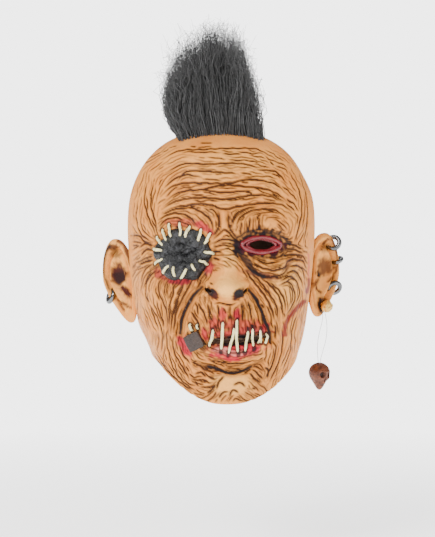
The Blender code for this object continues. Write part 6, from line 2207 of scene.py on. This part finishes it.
class MASK_OT_hair(bpy.types.Operator):
    """Grow the mohawk"""

    bl_idname = "mask.hair"
    bl_label = "Mohawk"

    def execute(self, context):
        looks = context.scene.mask_hair_looks
        material = hair_material(looks)
        turn = np.arange(120) / 120 * 2.0 * math.pi
        down = np.repeat(((np.arange(1, 60) / 60) ** 1.6 * 0.5)[:, None], 120, axis=1)
        head = head_solid("crown", 0.0, np.broadcast_to(turn, down.shape), down)
        crown = surface_tree(head)
        bpy.data.meshes.remove(head)
        tree, sockets = hair_tree()
        parts = (("hair_front", 0.0, 0.33), ("hair_middle", 0.33, 0.66), ("hair_back", 0.66, 1.0))
        for seed, (name, first, last) in enumerate(parts):
            mesh, area = scalp_mesh(crown, first, last)
            thing = add_object(name, mesh)
            waves = 2.0 * math.pi * HAIR_HEIGHT / looks.crimp_length
            grow(thing, tree, sockets, {
                "Density": looks.strands / area, "Radius": looks.strand_radius,
                "Crimp": looks.crimp, "Waves": waves, "Seed": seed + 3, "Material": material})
            if not len(thing.data.vertices):
                raise RuntimeError("the hair tree made no strands")
            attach(thing, "root")
        core = self.core(crown)
        add_piece("hair_core", core, material, ("mohawk",))
        return {"FINISHED"}

    def core(self, crown):
        """Dark mass inside the strands."""
        rows = []
        for share in (0.02, 0.25, 0.5, 0.7, 0.82):
            row = []
            for step in range(56):
                angle = step / 56 * 2.0 * math.pi
                across = 0.90 * math.cos(angle)
                along = 0.5 + 0.47 * math.sin(angle)
                half = strip_half_width(along)
                y = HAIR_FRONT + (HAIR_BACK - HAIR_FRONT) * along
                hit = crown.ray_cast(Vector((across * half, y, 0.2)), Vector((0.0, 0.0, -1.0)))[0]
                tip_across, back, tall = hair_tip(max(-0.76, min(0.70, across)), along)
                tip = Vector((tip_across * half, y + back * HAIR_HEIGHT, HAIR_HEIGHT * tall))
                inner = 1.0 - 0.35 * share
                spot = hit.lerp(tip, share)
                spot.x *= inner
                spot.y = CORE_MIDDLE + (spot.y - CORE_MIDDLE) * inner
                row.append(spot)
            rows.append(row)
        top = sum(rows[-1], Vector()) / len(rows[-1])
        bottom = Vector((0.0, CORE_MIDDLE, 0.0))
        return grid_mesh("hair_core", rows, top, bottom)


class MASK_OT_stage(bpy.types.Operator):
    """Set up the floor, the sky, the lights and the camera"""

    bl_idname = "mask.stage"
    bl_label = "Stage"

    def execute(self, context):
        looks = context.scene.mask_stage_looks
        scene = context.scene
        places = [(0.0, 0.0, FLOOR_HEIGHT)]
        for step in range(64):
            angle = step / 64 * 2.0 * math.pi
            places.append((FLOOR_REACH * math.cos(angle), FLOOR_REACH * math.sin(angle),
                           FLOOR_HEIGHT))
        faces = [(0, step + 1, (step + 1) % 64 + 1) for step in range(64)]
        mesh = bpy.data.meshes.new("floor")
        mesh.from_pydata(places, [], faces)
        material, tree, shader, place = new_material("pale_floor", 0.9)
        shader.inputs["Base Color"].default_value = (*looks.floor_colour, 1.0)
        shader.inputs["Specular IOR Level"].default_value = 0.0
        away = node(tree, "ShaderNodeVectorMath", {0: place}, operation="LENGTH")
        far = node(tree, "ShaderNodeMapRange",
                   {"Value": away.outputs["Value"], "From Min": 0.5, "From Max": 1.6})
        glow = node(tree, "ShaderNodeMapRange",
                    {"Value": far.outputs["Result"], "To Min": looks.backdrop * 0.45,
                     "To Max": looks.backdrop}).outputs["Result"]
        shader.inputs["Emission Color"].default_value = (1.0, 1.0, 1.0, 1.0)
        tree.links.new(glow, shader.inputs["Emission Strength"])
        near = mix_colour(tree, far.outputs["Result"], (*looks.floor_colour, 1.0),
                          (0.0, 0.0, 0.0, 1.0))
        tree.links.new(near, shader.inputs["Base Color"])
        add_object("floor", mesh, material)
        self.light("key_light", (-0.85, -1.35, 0.95), 0.6, looks.key_power)
        self.light("fill_light", (1.2, -1.2, 0.25), 1.2, looks.fill_power)
        self.light("top_light", (0.1, 0.5, 1.4), 0.8, looks.fill_power)
        world = bpy.data.worlds.new("soft_sky")
        world.use_nodes = True
        tree = world.node_tree
        sky = tree.nodes["Background"]
        sky.inputs["Color"].default_value = (1.0, 1.0, 1.0, 1.0)
        seen = node(tree, "ShaderNodeLightPath").outputs["Is Camera Ray"]
        strength = node(tree, "ShaderNodeMapRange",
                        {"Value": seen, "To Min": looks.sky, "To Max": looks.backdrop})
        tree.links.new(strength.outputs["Result"], sky.inputs["Strength"])
        scene.world = world
        middle, eye = camera_place()
        camera = bpy.data.cameras.new("photo_camera")
        camera.sensor_width = SENSOR
        camera.lens = SENSOR * CAMERA_DISTANCE / (PHOTO_HEIGHT * PIXEL)
        holder = bpy.data.objects.new("photo_camera", camera)
        holder.location = eye
        holder.rotation_euler = (math.pi / 2.0, 0.0, CAMERA_AZIMUTH)
        scene.collection.objects.link(holder)
        scene.camera = holder
        return {"FINISHED"}

    def light(self, name, place, size, power):
        """Square area light that points at the face."""
        lamp = bpy.data.lights.new(name, "AREA")
        lamp.shape = "SQUARE"
        lamp.size = size
        lamp.energy = power
        thing = bpy.data.objects.new(name, lamp)
        thing.location = place
        aim = Vector((0.0, 0.0, -0.12)) - Vector(place)
        thing.rotation_euler = aim.to_track_quat("-Z", "Y").to_euler()
        bpy.context.scene.collection.objects.link(thing)


class MASK_PT_panel(bpy.types.Panel):
    """Sidebar panel that lists the pieces and their looks"""

    bl_idname = "MASK_PT_panel"
    bl_label = "Punk Latex Mask"
    bl_space_type = "VIEW_3D"
    bl_region_type = "UI"
    bl_category = "Mask"

    def draw(self, context):
        layout = self.layout
        for name in LOOKS:
            group = getattr(context.scene, name)
            for key in group.bl_rna.properties.keys():
                if key not in ("rna_type", "name"):
                    layout.prop(group, key)
        for operator in OPERATORS:
            layout.operator(operator.bl_idname)


OPERATORS = (
    MASK_OT_skin, MASK_OT_lids, MASK_OT_patch, MASK_OT_tag, MASK_OT_stitches,
    MASK_OT_rings, MASK_OT_stud, MASK_OT_pendant, MASK_OT_hair, MASK_OT_stage,
)
LOOKS = {
    "mask_skin_looks": MaskSkinLooks,
    "mask_trim_looks": MaskTrimLooks,
    "mask_hair_looks": MaskHairLooks,
    "mask_stage_looks": MaskStageLooks,
}


def register():
    """Register the classes and hang their properties on the scene."""
    for looks in LOOKS.values():
        bpy.utils.register_class(looks)
    for operator in OPERATORS:
        bpy.utils.register_class(operator)
    bpy.utils.register_class(MASK_PT_panel)
    for name, looks in LOOKS.items():
        setattr(bpy.types.Scene, name, PointerProperty(type=looks))


def unregister():
    """Undo register."""
    for name in LOOKS:
        delattr(bpy.types.Scene, name)
    bpy.utils.unregister_class(MASK_PT_panel)
    for operator in reversed(OPERATORS):
        bpy.utils.unregister_class(operator)
    for looks in reversed(tuple(LOOKS.values())):
        bpy.utils.unregister_class(looks)


def main():
    """Build every piece and the stage."""
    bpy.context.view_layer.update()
    register()
    for operator in OPERATORS:
        group, name = operator.bl_idname.split(".")
        getattr(getattr(bpy.ops, group), name)()


if __name__ == "__main__":
    main()
